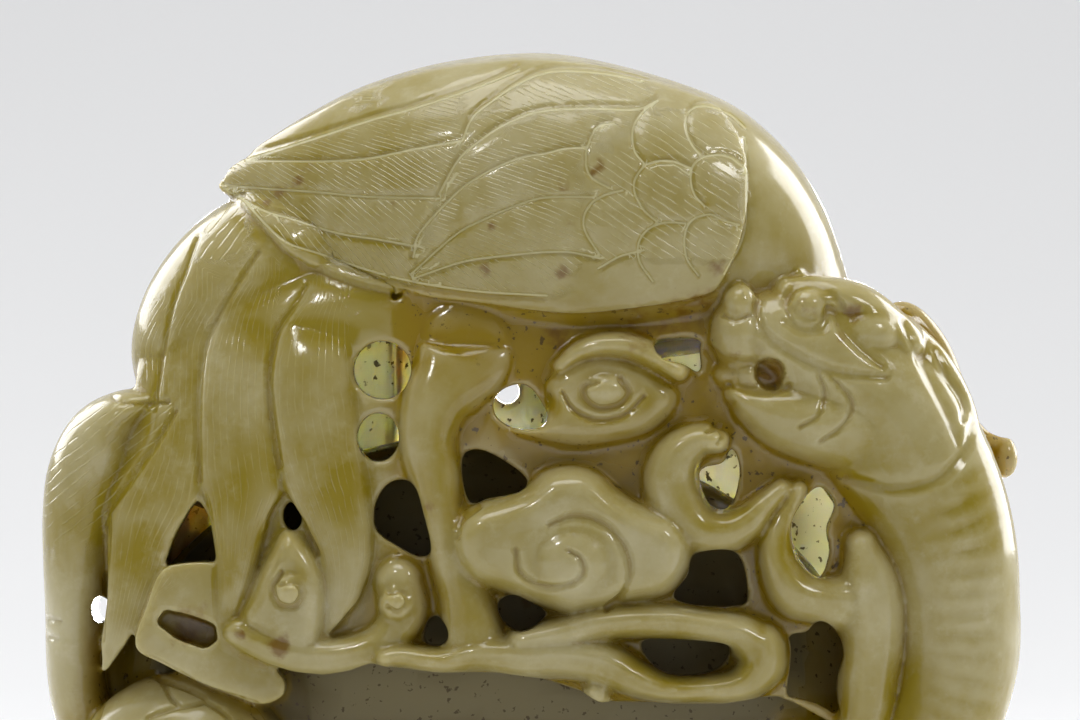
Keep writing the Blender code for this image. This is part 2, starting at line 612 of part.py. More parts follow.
def raise_wing(obj):
    """The folded wing stands a little proud of the bird's body, on both sides."""
    points, normals, across, down = sheet_places(obj)
    outline = smooth_path(WING, 4, closed=True)
    closed = np.vstack([outline, outline[:1]])
    gap, _ = near_path(across, down, closed)
    rise = np.clip(gap * SQUARE / (2 * CLAY_GRAIN), 0, 1) * inside(across, down, outline)
    facing = np.clip(np.abs(normals[:, 1]) * 4 - 0.6, 0, 1)
    points += normals * (rise * facing * WING_RISE)[:, None]
    obj.data.vertices.foreach_set("co", points.ravel())


def crease(obj):
    """The lines that part the head's forms, sunk into the front."""
    points, normals, across, down = sheet_places(obj)
    facing = np.clip(-normals[:, 1] * 3, 0, 1) * (points[:, 1] < -0.004)
    sunk = np.zeros(len(points))
    for line in CREASES.values():
        gap, found = near_path(across, down, smooth_path(line, 4))
        sunk = np.maximum(sunk, (1 - np.clip(gap / found[:, 0] / 1.3, 0, 1) ** 2) ** 2)
    points -= normals * (sunk * facing * CREASE_DEPTH)[:, None]
    obj.data.vertices.foreach_set("co", points.ravel())


def rib_neck(obj):
    """Rings of shallow ribs round the beast's neck."""
    points, normals, across, down = sheet_places(obj)
    path = smooth_path(MASSES["neck"], 8)
    along = np.concatenate([[0], np.cumsum(np.hypot(*np.diff(path[:, :2], axis=0).T))])
    gap, found = near_path(across, down, np.column_stack([path[:, :2], along, path[:, 3]]))
    wave = 0.5 - 0.5 * np.cos(2 * math.pi * found[:, 0] * SQUARE / RIB_PITCH)
    on_neck = (gap < found[:, 1] * 1.15) & (found[:, 0] > 60) & (found[:, 0] < 400) & (points[:, 1] < 0.006)
    points -= normals * (wave**2 * on_neck * RIB_DEPTH)[:, None]
    obj.data.vertices.foreach_set("co", points.ravel())


def sink_drilled(obj):
    """Pits where the drill stopped short of going through."""
    points, normals, across, down = sheet_places(obj)
    for x, y, diameter, deep in BLIND_DRILLED.values():
        gap = np.hypot(across - x, down - y) * SQUARE
        share = np.clip((diameter / 2 + CLAY_GRAIN / 2 - gap) / CLAY_GRAIN, 0, 1)
        points[:, 1] += share * deep * (points[:, 1] < -0.012)
    obj.data.vertices.foreach_set("co", points.ravel())


def build_carving():
    pieces = cloud_walls() + tails()
    pieces.append(swept("bird_body", BIRD_BODY, upright=True, fullness=BIRD_FULLNESS, sides=40, rings=60))
    pieces += [swept(name, points) for name, points in MASSES.items()]
    pieces += [ellipsoid(name, *numbers) for name, numbers in ELLIPSOIDS.items()]
    slot = prism("shell_slot", SHELL_SLOT, *SHELL_SLOT_DEPTH)
    pieces.append(cut(prism("shell_block", SHELL_BLOCK, *SHELL_BLOCK_DEPTH), [slot]))
    carving = fused(joined("jade_carving", pieces), CLAY_GRAIN)
    raise_wing(carving)
    crease(carving)
    rib_neck(carving)
    sink_drilled(carving)
    return carving


def finish(carving):
    """Rounds the tool marks off, thins the mesh out and cuts the underside flat."""
    smooth = carving.modifiers.new("polish", "SMOOTH")
    smooth.factor = 0.5
    smooth.iterations = SMOOTH_TURNS
    carving = evaluated(carving)
    triangles = sum(len(p.vertices) - 2 for p in carving.data.polygons)
    thin = carving.modifiers.new("thinned", "DECIMATE")
    thin.ratio = min(1.0, MOST_TRIANGLES / triangles)
    carving = evaluated(carving)
    bm = bmesh.new()
    bm.from_mesh(carving.data)
    flat = bmesh.ops.bisect_plane(
        bm, geom=bm.verts[:] + bm.edges[:] + bm.faces[:], plane_co=(0, 0, 0), plane_no=(0, 0, 1), clear_inner=True
    )
    rim = [g for g in flat["geom_cut"] if isinstance(g, bmesh.types.BMEdge)]
    bmesh.ops.holes_fill(bm, edges=rim)
    bmesh.ops.triangulate(bm, faces=bm.faces)
    bmesh.ops.recalc_face_normals(bm, faces=bm.faces)
    bm.to_mesh(carving.data)
    bm.free()
    carving.name = "jade_carving"
    carving.data.shade_smooth()
    return carving


def jade():
    material = bpy.data.materials.new("jade")
    material.use_nodes = True
    shader = material.node_tree.nodes["Principled BSDF"]
    shader.inputs["Base Color"].default_value = JADE_COLOUR
    shader.inputs["Roughness"].default_value = JADE_ROUGHNESS
    shader.inputs["Metallic"].default_value = 0.0
    return material


def main():
    for obj in list(bpy.data.objects):
        bpy.data.objects.remove(obj)
    carving = finish(build_carving())
    carving.data.materials.clear()
    carving.data.materials.append(jade())
    parts = bpy.data.collections.new("jade_carving")
    bpy.context.scene.collection.children.link(parts)
    bpy.context.scene.collection.objects.unlink(carving)
    parts.objects.link(carving)


if __name__ == "__main__":
    main()
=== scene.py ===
"""Looks of the openwork jade carving: a long-tailed bird over clouds, with a dragon-headed tortoise.

The carving is built up from closed forms, fused into one skin, engraved line by line and dressed in
jade. Its forms and lines are drawn on a squared sheet that is laid over the front: squares across
from the left, squares down from the top, and depths in the same squares, negative towards the viewer.
"""

import logging
import math
from collections import Counter
from collections.abc import Callable
from dataclasses import dataclass, field
from enum import Enum

import bmesh
import bpy
import numpy as np
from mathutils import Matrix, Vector


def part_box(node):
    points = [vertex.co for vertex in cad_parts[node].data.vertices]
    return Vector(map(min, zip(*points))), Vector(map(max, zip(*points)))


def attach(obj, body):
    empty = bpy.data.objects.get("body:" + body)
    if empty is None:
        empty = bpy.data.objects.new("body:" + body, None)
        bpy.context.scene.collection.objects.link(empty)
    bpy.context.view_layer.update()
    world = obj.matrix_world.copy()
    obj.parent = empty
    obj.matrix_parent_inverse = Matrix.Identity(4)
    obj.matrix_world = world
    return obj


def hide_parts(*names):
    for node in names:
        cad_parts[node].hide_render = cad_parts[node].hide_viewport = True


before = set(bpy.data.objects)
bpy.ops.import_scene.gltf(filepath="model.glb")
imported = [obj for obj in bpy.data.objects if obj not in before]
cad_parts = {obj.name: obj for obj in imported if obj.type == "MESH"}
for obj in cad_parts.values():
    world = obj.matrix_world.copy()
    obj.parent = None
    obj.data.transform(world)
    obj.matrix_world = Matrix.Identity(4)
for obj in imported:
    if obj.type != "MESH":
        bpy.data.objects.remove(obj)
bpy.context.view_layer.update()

log = logging.getLogger("jade_carving")

NODE = "jade_carving"
# Points made between two knots of a drawn line.
CURVE_STEPS = 6
# The share of a mass's length that counts as its very end.
POLE_SHARE = 1e-4
# Keeps a line of no length from dividing by nothing.
TINY = 1e-9
# Depths that a cutter reaches: outside the carving, and past its middle.
OUTSIDE = 340
PAST_MIDDLE = 120
Points = tuple[tuple[float, ...], ...]
Depths = Callable[[np.ndarray, np.ndarray], np.ndarray]


class Side(Enum):
    """Which way a form faces."""

    FRONT = -1
    FAR = 1


class Work(Enum):
    """How finely the skin is worked: its grain in metres and the triangles that are kept."""

    ROUGH = (0.0008, 90_000)
    FINE = (0.00042, 196_000)

    @property
    def grain(self) -> float:
        """The voxel size of the skin."""
        return self.value[0]

    @property
    def triangles(self) -> int:
        """The most triangles that the finished skin keeps."""
        return self.value[1]


def read_off(places: np.ndarray, pairs: Points) -> np.ndarray:
    """A table's second numbers at the given places, straight between its rows."""
    return np.interp(places, *np.array(pairs, float).T)


def slanted(across: np.ndarray, down: np.ndarray, angle: float, pitch: float) -> np.ndarray:
    """The running number of parallel strokes that slope by an angle in degrees, a pitch apart."""
    turn = math.radians(angle)
    return (math.cos(turn) * down - math.sin(turn) * across) / pitch


def in_oval(across: np.ndarray, down: np.ndarray, oval: tuple[float, ...]) -> np.ndarray:
    """Which places lie in an oval, given as its centre and half sizes."""
    x, y, wide, high = oval
    return np.hypot((across - x) / wide, (down - y) / high) < 1


@dataclass(frozen=True)
class Sheet:
    """The squared drawing sheet, fitted to the solid's own box.

    Attributes:
        left: squares across of the box's left side.
        right: squares across of its right side.
        middle: squares across that lie on the frame's middle.
        ground: squares down of the ground.
        half_depth: depth of the round front at its fullest.
        half_width: from the middle to the round front's ends.
        belt: how high over the ground the round front is fullest.
        half_height: from the belt to the round front's upper and lower ends.
        tail_root: squares across at which the tail's surface is fullest.
        tail_depth: the depth there.
        tail_edge: squares down, and squares across of the tail's outer edge there.
    """

    left: float = 38.0
    right: float = 1023.5
    middle: float = 531.0
    ground: float = 828.0
    half_depth: float = 217.0
    half_width: float = 505.0
    belt: float = 390.0
    half_height: float = 440.0
    tail_root: float = 430.0
    tail_depth: float = 166.0
    tail_edge: Points = ((200, 205), (300, 150), (385, 112), (450, 85), (520, 50), (650, 20))

    @property
    def square(self) -> float:
        """One square in metres."""
        low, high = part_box(NODE)
        return (high[0] - low[0]) / (self.right - self.left)

    def metres(self, across: float, down: float, depth: float) -> tuple[float, float, float]:
        """A point of the sheet as a point in the frame."""
        return (across - self.middle) * SQUARE, depth * SQUARE, (self.ground - down) * SQUARE

    def squares(self, points: np.ndarray) -> tuple[np.ndarray, np.ndarray, np.ndarray]:
        """Points of the frame as squares across, squares down and depth."""
        across, down = points[:, 0] / SQUARE + self.middle, self.ground - points[:, 2] / SQUARE
        return across, down, points[:, 1] / SQUARE

    def round_front(self, across: np.ndarray, down: np.ndarray) -> np.ndarray:
        """Depth of the carving's round front under a place on the sheet."""
        side = np.clip(np.abs((across - self.middle) / self.half_width), 0, 0.995)
        rise = np.clip(np.abs((self.ground - down - self.belt) / self.half_height), 0, 0.995)
        return -self.half_depth * np.sqrt(1 - side**2.6) * (1 - rise**2.8) ** 0.4545

    def tail_front(self, across: np.ndarray, down: np.ndarray) -> np.ndarray:
        """Depth of the surface that the tail feathers lie on."""
        reach = self.tail_root - read_off(down, self.tail_edge)
        share = np.clip((self.tail_root - across) / reach, 0, 0.99)
        return -self.tail_depth * np.sqrt(1 - share**2.5)


SHEET = Sheet()
SQUARE = SHEET.square


def smooth_path(points: Points, steps: int = CURVE_STEPS, closed: bool = False) -> np.ndarray:
    """Catmull-Rom points through the given ones, each number of a point interpolated alike.

    Args:
        points: the knots, with any count of numbers each.
        steps: points made in each span.
        closed: whether the path returns to its start.

    Returns:
        The points as rows.
    """
    knots = np.array(points, float)
    count = len(knots)
    made = []
    for i in range(count if closed else count - 1):
        if closed:
            a, b, c, d = (knots[(i + k) % count] for k in (-1, 0, 1, 2))
        else:
            b, c = knots[i], knots[i + 1]
            a = knots[i - 1] if i else 2 * b - c
            d = knots[i + 2] if i + 2 < count else 2 * c - b
        second, third = 2 * a - 5 * b + 4 * c - d, 3 * b - a - 3 * c + d
        for t in np.arange(steps) / steps:
            made.append(0.5 * (2 * b + (c - a) * t + second * t**2 + third * t**3))
    made.append(made[0] if closed else knots[-1])
    return np.array(made)


def near_path(across: np.ndarray, down: np.ndarray, path: np.ndarray) -> tuple[np.ndarray, np.ndarray]:
    """Distance of each place from a path on the sheet, and the path's other numbers where it is nearest."""
    best = np.full(across.shape, np.inf)
    values = np.zeros(across.shape + (path.shape[1] - 2,))
    for start, end in zip(path[:-1], path[1:]):
        run = end[:2] - start[:2]
        x, y = across - start[0], down - start[1]
        share = np.clip((x * run[0] + y * run[1]) / max(run @ run, TINY), 0, 1)
        gap = np.hypot(x - share * run[0], y - share * run[1])
        closer = gap < best
        best[closer] = gap[closer]
        values[closer] = start[2:] + share[closer][:, None] * (end - start)[2:]
    return best, values


def beside(across: np.ndarray, down: np.ndarray, path: np.ndarray, reach: float) -> np.ndarray:
    """Which places lie in the box round a path, widened by a reach on every side."""
    low, high = path[:, :2].min(axis=0) - reach, path[:, :2].max(axis=0) + reach
    return (across > low[0]) & (across < high[0]) & (down > low[1]) & (down < high[1])


def inside(across: np.ndarray, down: np.ndarray, ring: np.ndarray) -> np.ndarray:
    """Which places lie within a closed outline on the sheet."""
    found = np.zeros(across.shape, bool)
    for (x0, y0), (x1, y1) in zip(ring[:-1], ring[1:]):
        if y0 != y1:
            found ^= ((y0 > down) != (y1 > down)) & (across < (x1 - x0) * (down - y0) / (y1 - y0) + x0)
    return found


def new_object(name: str, bm: bmesh.types.BMesh) -> bpy.types.Object:
    """The bmesh as a new object in the scene; the bmesh is freed."""
    mesh = bpy.data.meshes.new(name)
    bm.to_mesh(mesh)
    bm.free()
    made = bpy.data.objects.new(name, mesh)
    bpy.context.scene.collection.objects.link(made)
    return made


def baked(obj: bpy.types.Object) -> bpy.types.Object:
    """The object with its modifiers applied, as a new object that takes its place."""
    graph = bpy.context.evaluated_depsgraph_get()
    name = obj.name
    mesh = bpy.data.meshes.new_from_object(obj.evaluated_get(graph))
    bpy.data.objects.remove(obj)
    made = bpy.data.objects.new(name, mesh)
    bpy.context.scene.collection.objects.link(made)
    return made


def joined(name: str, objects: list[bpy.types.Object]) -> bpy.types.Object:
    """One object that holds the meshes of several, which are removed."""
    bm = bmesh.new()
    for obj in objects:
        bm.from_mesh(obj.data)
        bpy.data.objects.remove(obj)
    return new_object(name, bm)


def cut(obj: bpy.types.Object, cutters: list[bpy.types.Object]) -> bpy.types.Object:
    """The object with each closed cutter taken out of it."""
    tool = joined("cutter", cutters)
    boolean = obj.modifiers.new("openings", "BOOLEAN")
    boolean.operation = "DIFFERENCE"
    boolean.object = tool
    boolean.solver = "MANIFOLD"
    made = baked(obj)
    bpy.data.objects.remove(tool)
    return made


def prism(name: str, outline: np.ndarray, near: float, far: float) -> bpy.types.Object:
    """A closed outline on the sheet, run from one depth to another."""
    bm = bmesh.new()
    face = bm.faces.new([bm.verts.new(SHEET.metres(x, y, near)) for x, y in outline])
    made = bmesh.ops.extrude_face_region(bm, geom=[face])
    moved = [g for g in made["geom"] if isinstance(g, bmesh.types.BMVert)]
    bmesh.ops.translate(bm, verts=moved, vec=(0, (far - near) * SQUARE, 0))
    bmesh.ops.recalc_face_normals(bm, faces=bm.faces)
    return new_object(name, bm)


def round_prism(
    name: str, across: float, down: float, wide: float, high: float, near: float, far: float
) -> bpy.types.Object:
    """A round or oval hole's prism, from its centre and half sizes in squares."""
    turn = np.linspace(0, 2 * math.pi, 40, endpoint=False)
    ring = np.column_stack([across + wide * np.cos(turn), down + high * np.sin(turn)])
    return prism(name, ring, near, far)


def ball(
    name: str, across: float, down: float, depth: float, wide: float, high: float, deep: float
) -> bpy.types.Object:
    """A ball drawn out along the frame's axes, from its centre and half sizes in squares."""
    bm = bmesh.new()
    bmesh.ops.create_uvsphere(bm, u_segments=64, v_segments=40, radius=1)
    bmesh.ops.scale(bm, verts=bm.verts, vec=(wide * SQUARE, deep * SQUARE, high * SQUARE))
    bmesh.ops.translate(bm, verts=bm.verts, vec=SHEET.metres(across, down, depth))
    return new_object(name, bm)


def swelled(value: float, power: float) -> float:
    """A sine or cosine raised to a power that keeps its sign, which squares up a round section."""
    return math.copysign(abs(value) ** power, value)


@dataclass(frozen=True)
class Mass:
    """A round mass along a path.

    Attributes:
        points: squares across, squares down, depth, half width and half thickness of each station.
        upright: whether the stations stand upright instead of square to the path.
        fullness: 2 for an oval section, more for a squarer one.
        sides: faces round the section.
        rings: faces along the path.
        steps: points of the path between two stations.
    """

    points: Points
    upright: bool = False
    fullness: float = 2.0
    sides: int = 40
    rings: int = 90
    steps: int = 10

    def build(self, name: str) -> bpy.types.Object:
        """The mass as a closed mesh: a sphere whose rings are drawn out along the path."""
        path = smooth_path(self.points, self.steps)
        centre = np.array([SHEET.metres(x, y, depth) for x, y, depth in path[:, :3]])
        half, thick = path[:, 3] * SQUARE, path[:, 4] * SQUARE
        along = np.concatenate([[0], np.cumsum(np.linalg.norm(np.diff(centre, axis=0), axis=1))])
        run = np.gradient(centre, axis=0)
        start_cap = 0 if self.upright else min(half[0], thick[0])
        end_cap = 0 if self.upright else min(half[-1], thick[-1])
        bm = bmesh.new()
        bmesh.ops.create_uvsphere(bm, u_segments=self.sides, v_segments=self.rings, radius=1)
        power = 2 / self.fullness
        for vert in bm.verts:
            share = math.acos(max(-1, min(1, vert.co.z))) / math.pi
            turn = math.atan2(vert.co.y, vert.co.x)
            s = share * (along[-1] + start_cap + end_cap) - start_cap
            on = min(max(s, 0), along[-1])
            shrink = 1.0
            if s < 0:
                shrink = math.sqrt(max(0, 1 - (s / start_cap) ** 2))
            if s > along[-1] and end_cap:
                shrink = math.sqrt(max(0, 1 - ((s - on) / end_cap) ** 2))
            if share < POLE_SHARE or share > 1 - POLE_SHARE:
                shrink = 0.0
            ahead = np.array([np.interp(on, along, run[:, k]) for k in range(3)])
            ahead /= np.linalg.norm(ahead)
            middle = np.array([np.interp(on, along, centre[:, k]) for k in range(3)]) + ahead * (s - on)
            wide, deep = np.array([0.0, 0.0, 1.0]), np.array([0.0, 1.0, 0.0])
            if not self.upright:
                wide = np.array([-ahead[2], 0.0, ahead[0]])
                wide /= np.linalg.norm(wide)
                deep = np.cross(wide, ahead)
            out = swelled(math.cos(turn), power) * np.interp(on, along, half) * shrink
            up = swelled(math.sin(turn), power) * np.interp(on, along, thick) * shrink
            vert.co = middle + wide * out + deep * up
        bmesh.ops.recalc_face_normals(bm, faces=bm.faces)
        return new_object(name, bm)


@dataclass(frozen=True)
class Plate:
    """A flat raised form.

    Attributes:
        outline: its closed outline on the sheet.
        level: height of its flat over the wall's surface.
        edge: width of its rounded edge.
    """

    outline: Points
    level: float
    edge: float


@dataclass(frozen=True)
class Wall:
    """A pierced wall that follows a surface, with its forms raised on it.

    Attributes:
        surface: depth of the surface under a place on the sheet.
        ground: height of the ground over the surface.
        thickness: from the ground to the wall's inner face, in squares.
        span: squares across of its two ends.
        top: its top edge, as squares across and squares down.
        foot: its lower edge, likewise.
        bands: rounded bands, each of squares across, squares down, half width and height of the crest.
        bosses: round bosses, each across, down, half width, half height and height of the crest.
        plates: flat raised forms.
        openings: closed outlines that are cut right through.
        drilled: round holes, each across, down, radius and height for its width.
        lip: how far the relief sinks at the wall's top edge, over the run below it.
        lip_run: how far down that sinking reaches.
        step: spacing of the mesh's points in squares.
    """

    surface: Depths
    ground: float
    thickness: float
    span: tuple[float, float]
    top: Points
    foot: Points
    bands: tuple[Points, ...] = ()
    bosses: Points = ()
    plates: tuple[Plate, ...] = ()
    openings: tuple[Points, ...] = ()
    drilled: Points = ()
    lip: float = 0.0
    lip_run: float = 70.0
    step: float = 2.6

    def relief(self, across: np.ndarray, down: np.ndarray) -> np.ndarray:
        """Height over the surface: the highest of the ground and each raised form."""
        height = np.full(across.shape, float(self.ground))
        for points in self.bands:
            gap, found = near_path(across, down, smooth_path(points))
            half, crest = np.moveaxis(found, -1, 0)
            rise = self.ground + (crest - self.ground) * np.sqrt(1 - np.clip(gap / half, 0, 1) ** 2.6)
            height = np.where(gap < half, np.maximum(height, rise), height)
        for x, y, wide, high, crest in self.bosses:
            part = np.hypot((across - x) / wide, (down - y) / high)
            rise = self.ground + (crest - self.ground) * np.sqrt(1 - np.clip(part, 0, 1) ** 3)
            height = np.where(part < 1, np.maximum(height, rise), height)
        for plate in self.plates:
            ring = smooth_path(plate.outline, closed=True)
            gap, _ = near_path(across, down, ring)
            round_edge = np.sqrt(1 - (1 - np.clip(gap / plate.edge, 0, 1)) ** 2)
            rise = self.ground + (plate.level - self.ground) * round_edge
            height = np.where(inside(across, down, ring), np.maximum(height, rise), height)
        below_edge = np.clip((down - read_off(across, self.top)) / self.lip_run, 0, 1)
        return height - self.lip * (1 - below_edge) ** 2

    def build(self, name: str, side: Side) -> bpy.types.Object:
        """The wall as a closed mesh, facing the viewer or away.

        Args:
            name: the object's name.
            side: which way the relief faces.

        Returns:
            The pierced wall.
        """
        tall = max(down for _, down in self.foot) - min(down for _, down in self.top)
        bm = bmesh.new()
        columns, rows = int((self.span[1] - self.span[0]) / self.step), int(tall / self.step)
        bmesh.ops.create_grid(bm, x_segments=columns, y_segments=rows, size=1)
        flat = np.array([v.co for v in bm.verts])
        across = self.span[0] + (flat[:, 0] + 1) / 2 * (self.span[1] - self.span[0])
        high, low = read_off(across, self.top), read_off(across, self.foot)
        down = high + (1 - flat[:, 1]) / 2 * (low - high)
        turn = -side.value
        carved = turn * (self.surface(across, down) - self.relief(across, down))
        inner = turn * (self.surface(across, down) - self.ground + self.thickness)
        made = bmesh.ops.extrude_face_region(bm, geom=list(bm.faces))
        backs = {g for g in made["geom"] if isinstance(g, bmesh.types.BMVert)}
        fronts = [v for v in bm.verts if v not in backs]
        place = {tuple(vert.co): i for i, vert in enumerate(fronts)}
        for vert in backs:
            i = place[tuple(vert.co)]
            vert.co = SHEET.metres(across[i], down[i], inner[i])
        for i, vert in enumerate(fronts):
            vert.co = SHEET.metres(across[i], down[i], carved[i])
        bmesh.ops.recalc_face_normals(bm, faces=bm.faces)
        wall = new_object(name, bm)
        near, far = (-OUTSIDE, PAST_MIDDLE) if side is Side.FRONT else (-PAST_MIDDLE, OUTSIDE)
        rings = [smooth_path(points, closed=True)[:-1] for points in self.openings]
        cutters = [prism("opening", ring, near, far) for ring in rings]
        for x, y, radius, tallness in self.drilled:
            cutters.append(round_prism("drilled", x, y, radius, radius * tallness, near, far))
        return cut(wall, cutters) if cutters else wall


@dataclass(frozen=True)
class Bird:
    """The long-tailed bird: its body with the folded wings, the rump and the tail of both sides."""

    body: Mass = Mass(
        (
            (214, 184, 0, 3, 4), (236, 183, 0, 20, 32), (262, 188, 0, 48, 68), (300, 198, 0, 83, 108),
            (360, 203, 0, 119, 150), (440, 205, 0, 145, 182), (530, 207, 0, 157, 199),
            (600, 211, 0, 153, 201), (680, 218, 0, 138, 192), (740, 226, 0, 120, 172),
            (790, 242, 0, 92, 139), (825, 265, 0, 61, 95), (846, 287, 0, 26, 42), (853, 292, 0, 4, 6),
        ), upright=True, fullness=2.6, sides=96, rings=150
    )
    rump: Mass = Mass(
        (
            (400, 215, 0, 60, 110), (330, 250, 0, 90, 128), (272, 300, 0, 112, 126),
            (238, 355, 0, 114, 112), (222, 405, 0, 94, 92), (212, 450, 0, 62, 66),
        )
    )
    leaf_plume: Mass = Mass(
        (
            (150, 400, -48, 12, 40), (124, 412, -44, 24, 52), (103, 436, -36, 38, 62),
            (86, 474, -30, 42, 66), (78, 520, -26, 40, 64), (73, 570, -24, 34, 60),
            (71, 620, -20, 30, 56), (71, 670, -16, 29, 54), (80, 716, -10, 30, 54),
            (108, 764, -4, 32, 56), (160, 798, 0, 30, 60),
        )
    )
    far_leaf_plume: Mass = Mass(
        (
            (160, 420, 60, 30, 36), (120, 480, 56, 38, 44), (104, 550, 54, 36, 44),
            (100, 640, 44, 32, 40), (120, 720, 30, 34, 44), (170, 790, 10, 34, 50),
        )
    )
    far_neck: Mass = Mass(
        (
            (780, 244, 60, 50, 60), (822, 306, 100, 40, 44), (826, 372, 132, 40, 36),
            (786, 414, 152, 34, 32), (744, 424, 162, 32, 30), (716, 424, 168, 28, 26),
        )
    )
    far_beak: Mass = Mass(
        ((716, 426, 170, 16, 18), (690, 438, 172, 10, 12), (668, 452, 168, 5, 7))
    )
    far_crest: Mass = Mass(
        ((752, 402, 176, 12, 12), (776, 380, 172, 12, 12), (800, 366, 160, 8, 9))
    )
    far_head: tuple[float, ...] = (722, 420, 168, 34, 26, 28)
    feathers: tuple[Points, ...] = (
        (
            (196, 300, 30, -36), (176, 340, 34, -18), (174, 385, 32, -10), (174, 425, 32, -6),
            (170, 460, 36, -2), (155, 505, 46, 0), (143, 535, 37, 0), (136, 567, 30, 0),
            (129, 597, 24, 0), (118, 640, 17, -4), (106, 664, 6, -14),
        ),
        (
            (262, 276, 20, -36), (248, 305, 28, -18), (240, 340, 34, -6), (236, 385, 38, 2),
            (236, 430, 39, 4), (240, 470, 41, 4), (244, 495, 38, 4), (239, 530, 26, 4), (236, 567, 18, 2),
            (231, 600, 12, 0), (223, 627, 4, -8),
        ),
        (
            (330, 296, 22, -36), (318, 322, 30, -14), (312, 350, 38, 0), (311, 380, 42, 6),
            (314, 420, 43, 8), (322, 465, 42, 8), (332, 500, 38, 8), (342, 535, 32, 8), (346, 570, 24, 6),
            (342, 600, 17, 2), (330, 626, 9, -6), (320, 640, 4, -14),
        ),
    )
    tail_foot: Points = (
        (92, 672), (106, 671), (125, 645), (140, 620), (152, 590), (165, 565), (176, 534), (190, 510),
        (199, 498), (211, 517), (218, 560), (219, 610), (224, 630), (240, 620), (256, 570), (270, 512),
        (286, 488), (306, 520), (322, 552), (325, 600), (320, 642), (336, 626), (360, 598), (374, 560),
        (376, 520), (366, 480), (392, 460),
    )
    far_tail_foot: Points = (
        (92, 672), (106, 671), (125, 645), (152, 640), (220, 650), (270, 640), (320, 642), (336, 626),
        (366, 560), (392, 480),
    )
    rump_window: Points = ((350, 336), (420, 330), (430, 480), (345, 480))
    window_end: float = 140.0
    plume_hole: tuple[float, ...] = (97, 611, 8, 14)
    tail_span: tuple[float, float] = (92, 392)
    tail_top: Points = ((92, 258), (392, 258))
    tail_ground: float = -9.0
    tail_lip: float = 26.0
    near_thickness: float = 66.0
    far_thickness: float = 34.0
    near_drilled: Points = ((383, 370, 28.9, 1.0), (379, 437, 21.1, 1.15))
    tail_outside: Points = (
        (40, 150), (222, 190), (172, 270), (150, 318), (136, 360), (132, 400), (126, 440), (112, 480),
        (106, 510), (107, 560), (107, 600), (101, 640), (97, 676), (40, 700),
    )

    def build(self) -> list[bpy.types.Object]:
        """The bird's closed forms."""
        plumes = [self.leaf_plume.build("leaf_plume"), self.far_leaf_plume.build("far_leaf_plume")]
        x, y, wide, high = self.plume_hole
        made = [cut(plume, [round_prism("hole", x, y, wide, high, -OUTSIDE, OUTSIDE)]) for plume in plumes]
        window = prism("window", np.array(self.rump_window, float), -OUTSIDE, self.window_end)
        made += [
            self.body.build("body"),
            self.far_neck.build("far_neck"),
            cut(self.rump.build("rump"), [window]),
            self.far_beak.build("far_beak"),
            self.far_crest.build("far_crest"),
            ball("far_head", *self.far_head),
            self._tail(self.tail_foot, self.near_thickness, self.near_drilled).build("tail", Side.FRONT),
            self._tail(self.far_tail_foot, self.far_thickness).build("tail", Side.FAR),
        ]
        return made

    def _tail(self, foot: Points, thickness: float, drilled: Points = ()) -> Wall:
        """The wall of one side's tail feathers."""
        return Wall(
            surface=SHEET.tail_front, ground=self.tail_ground, thickness=thickness, span=self.tail_span,
            top=self.tail_top, foot=foot, bands=self.feathers, openings=(self.tail_outside,),
            drilled=drilled, lip=self.tail_lip,
        )


# Depth of the clouds' ground under the carving's round front.
CLOUD_GROUND = -56

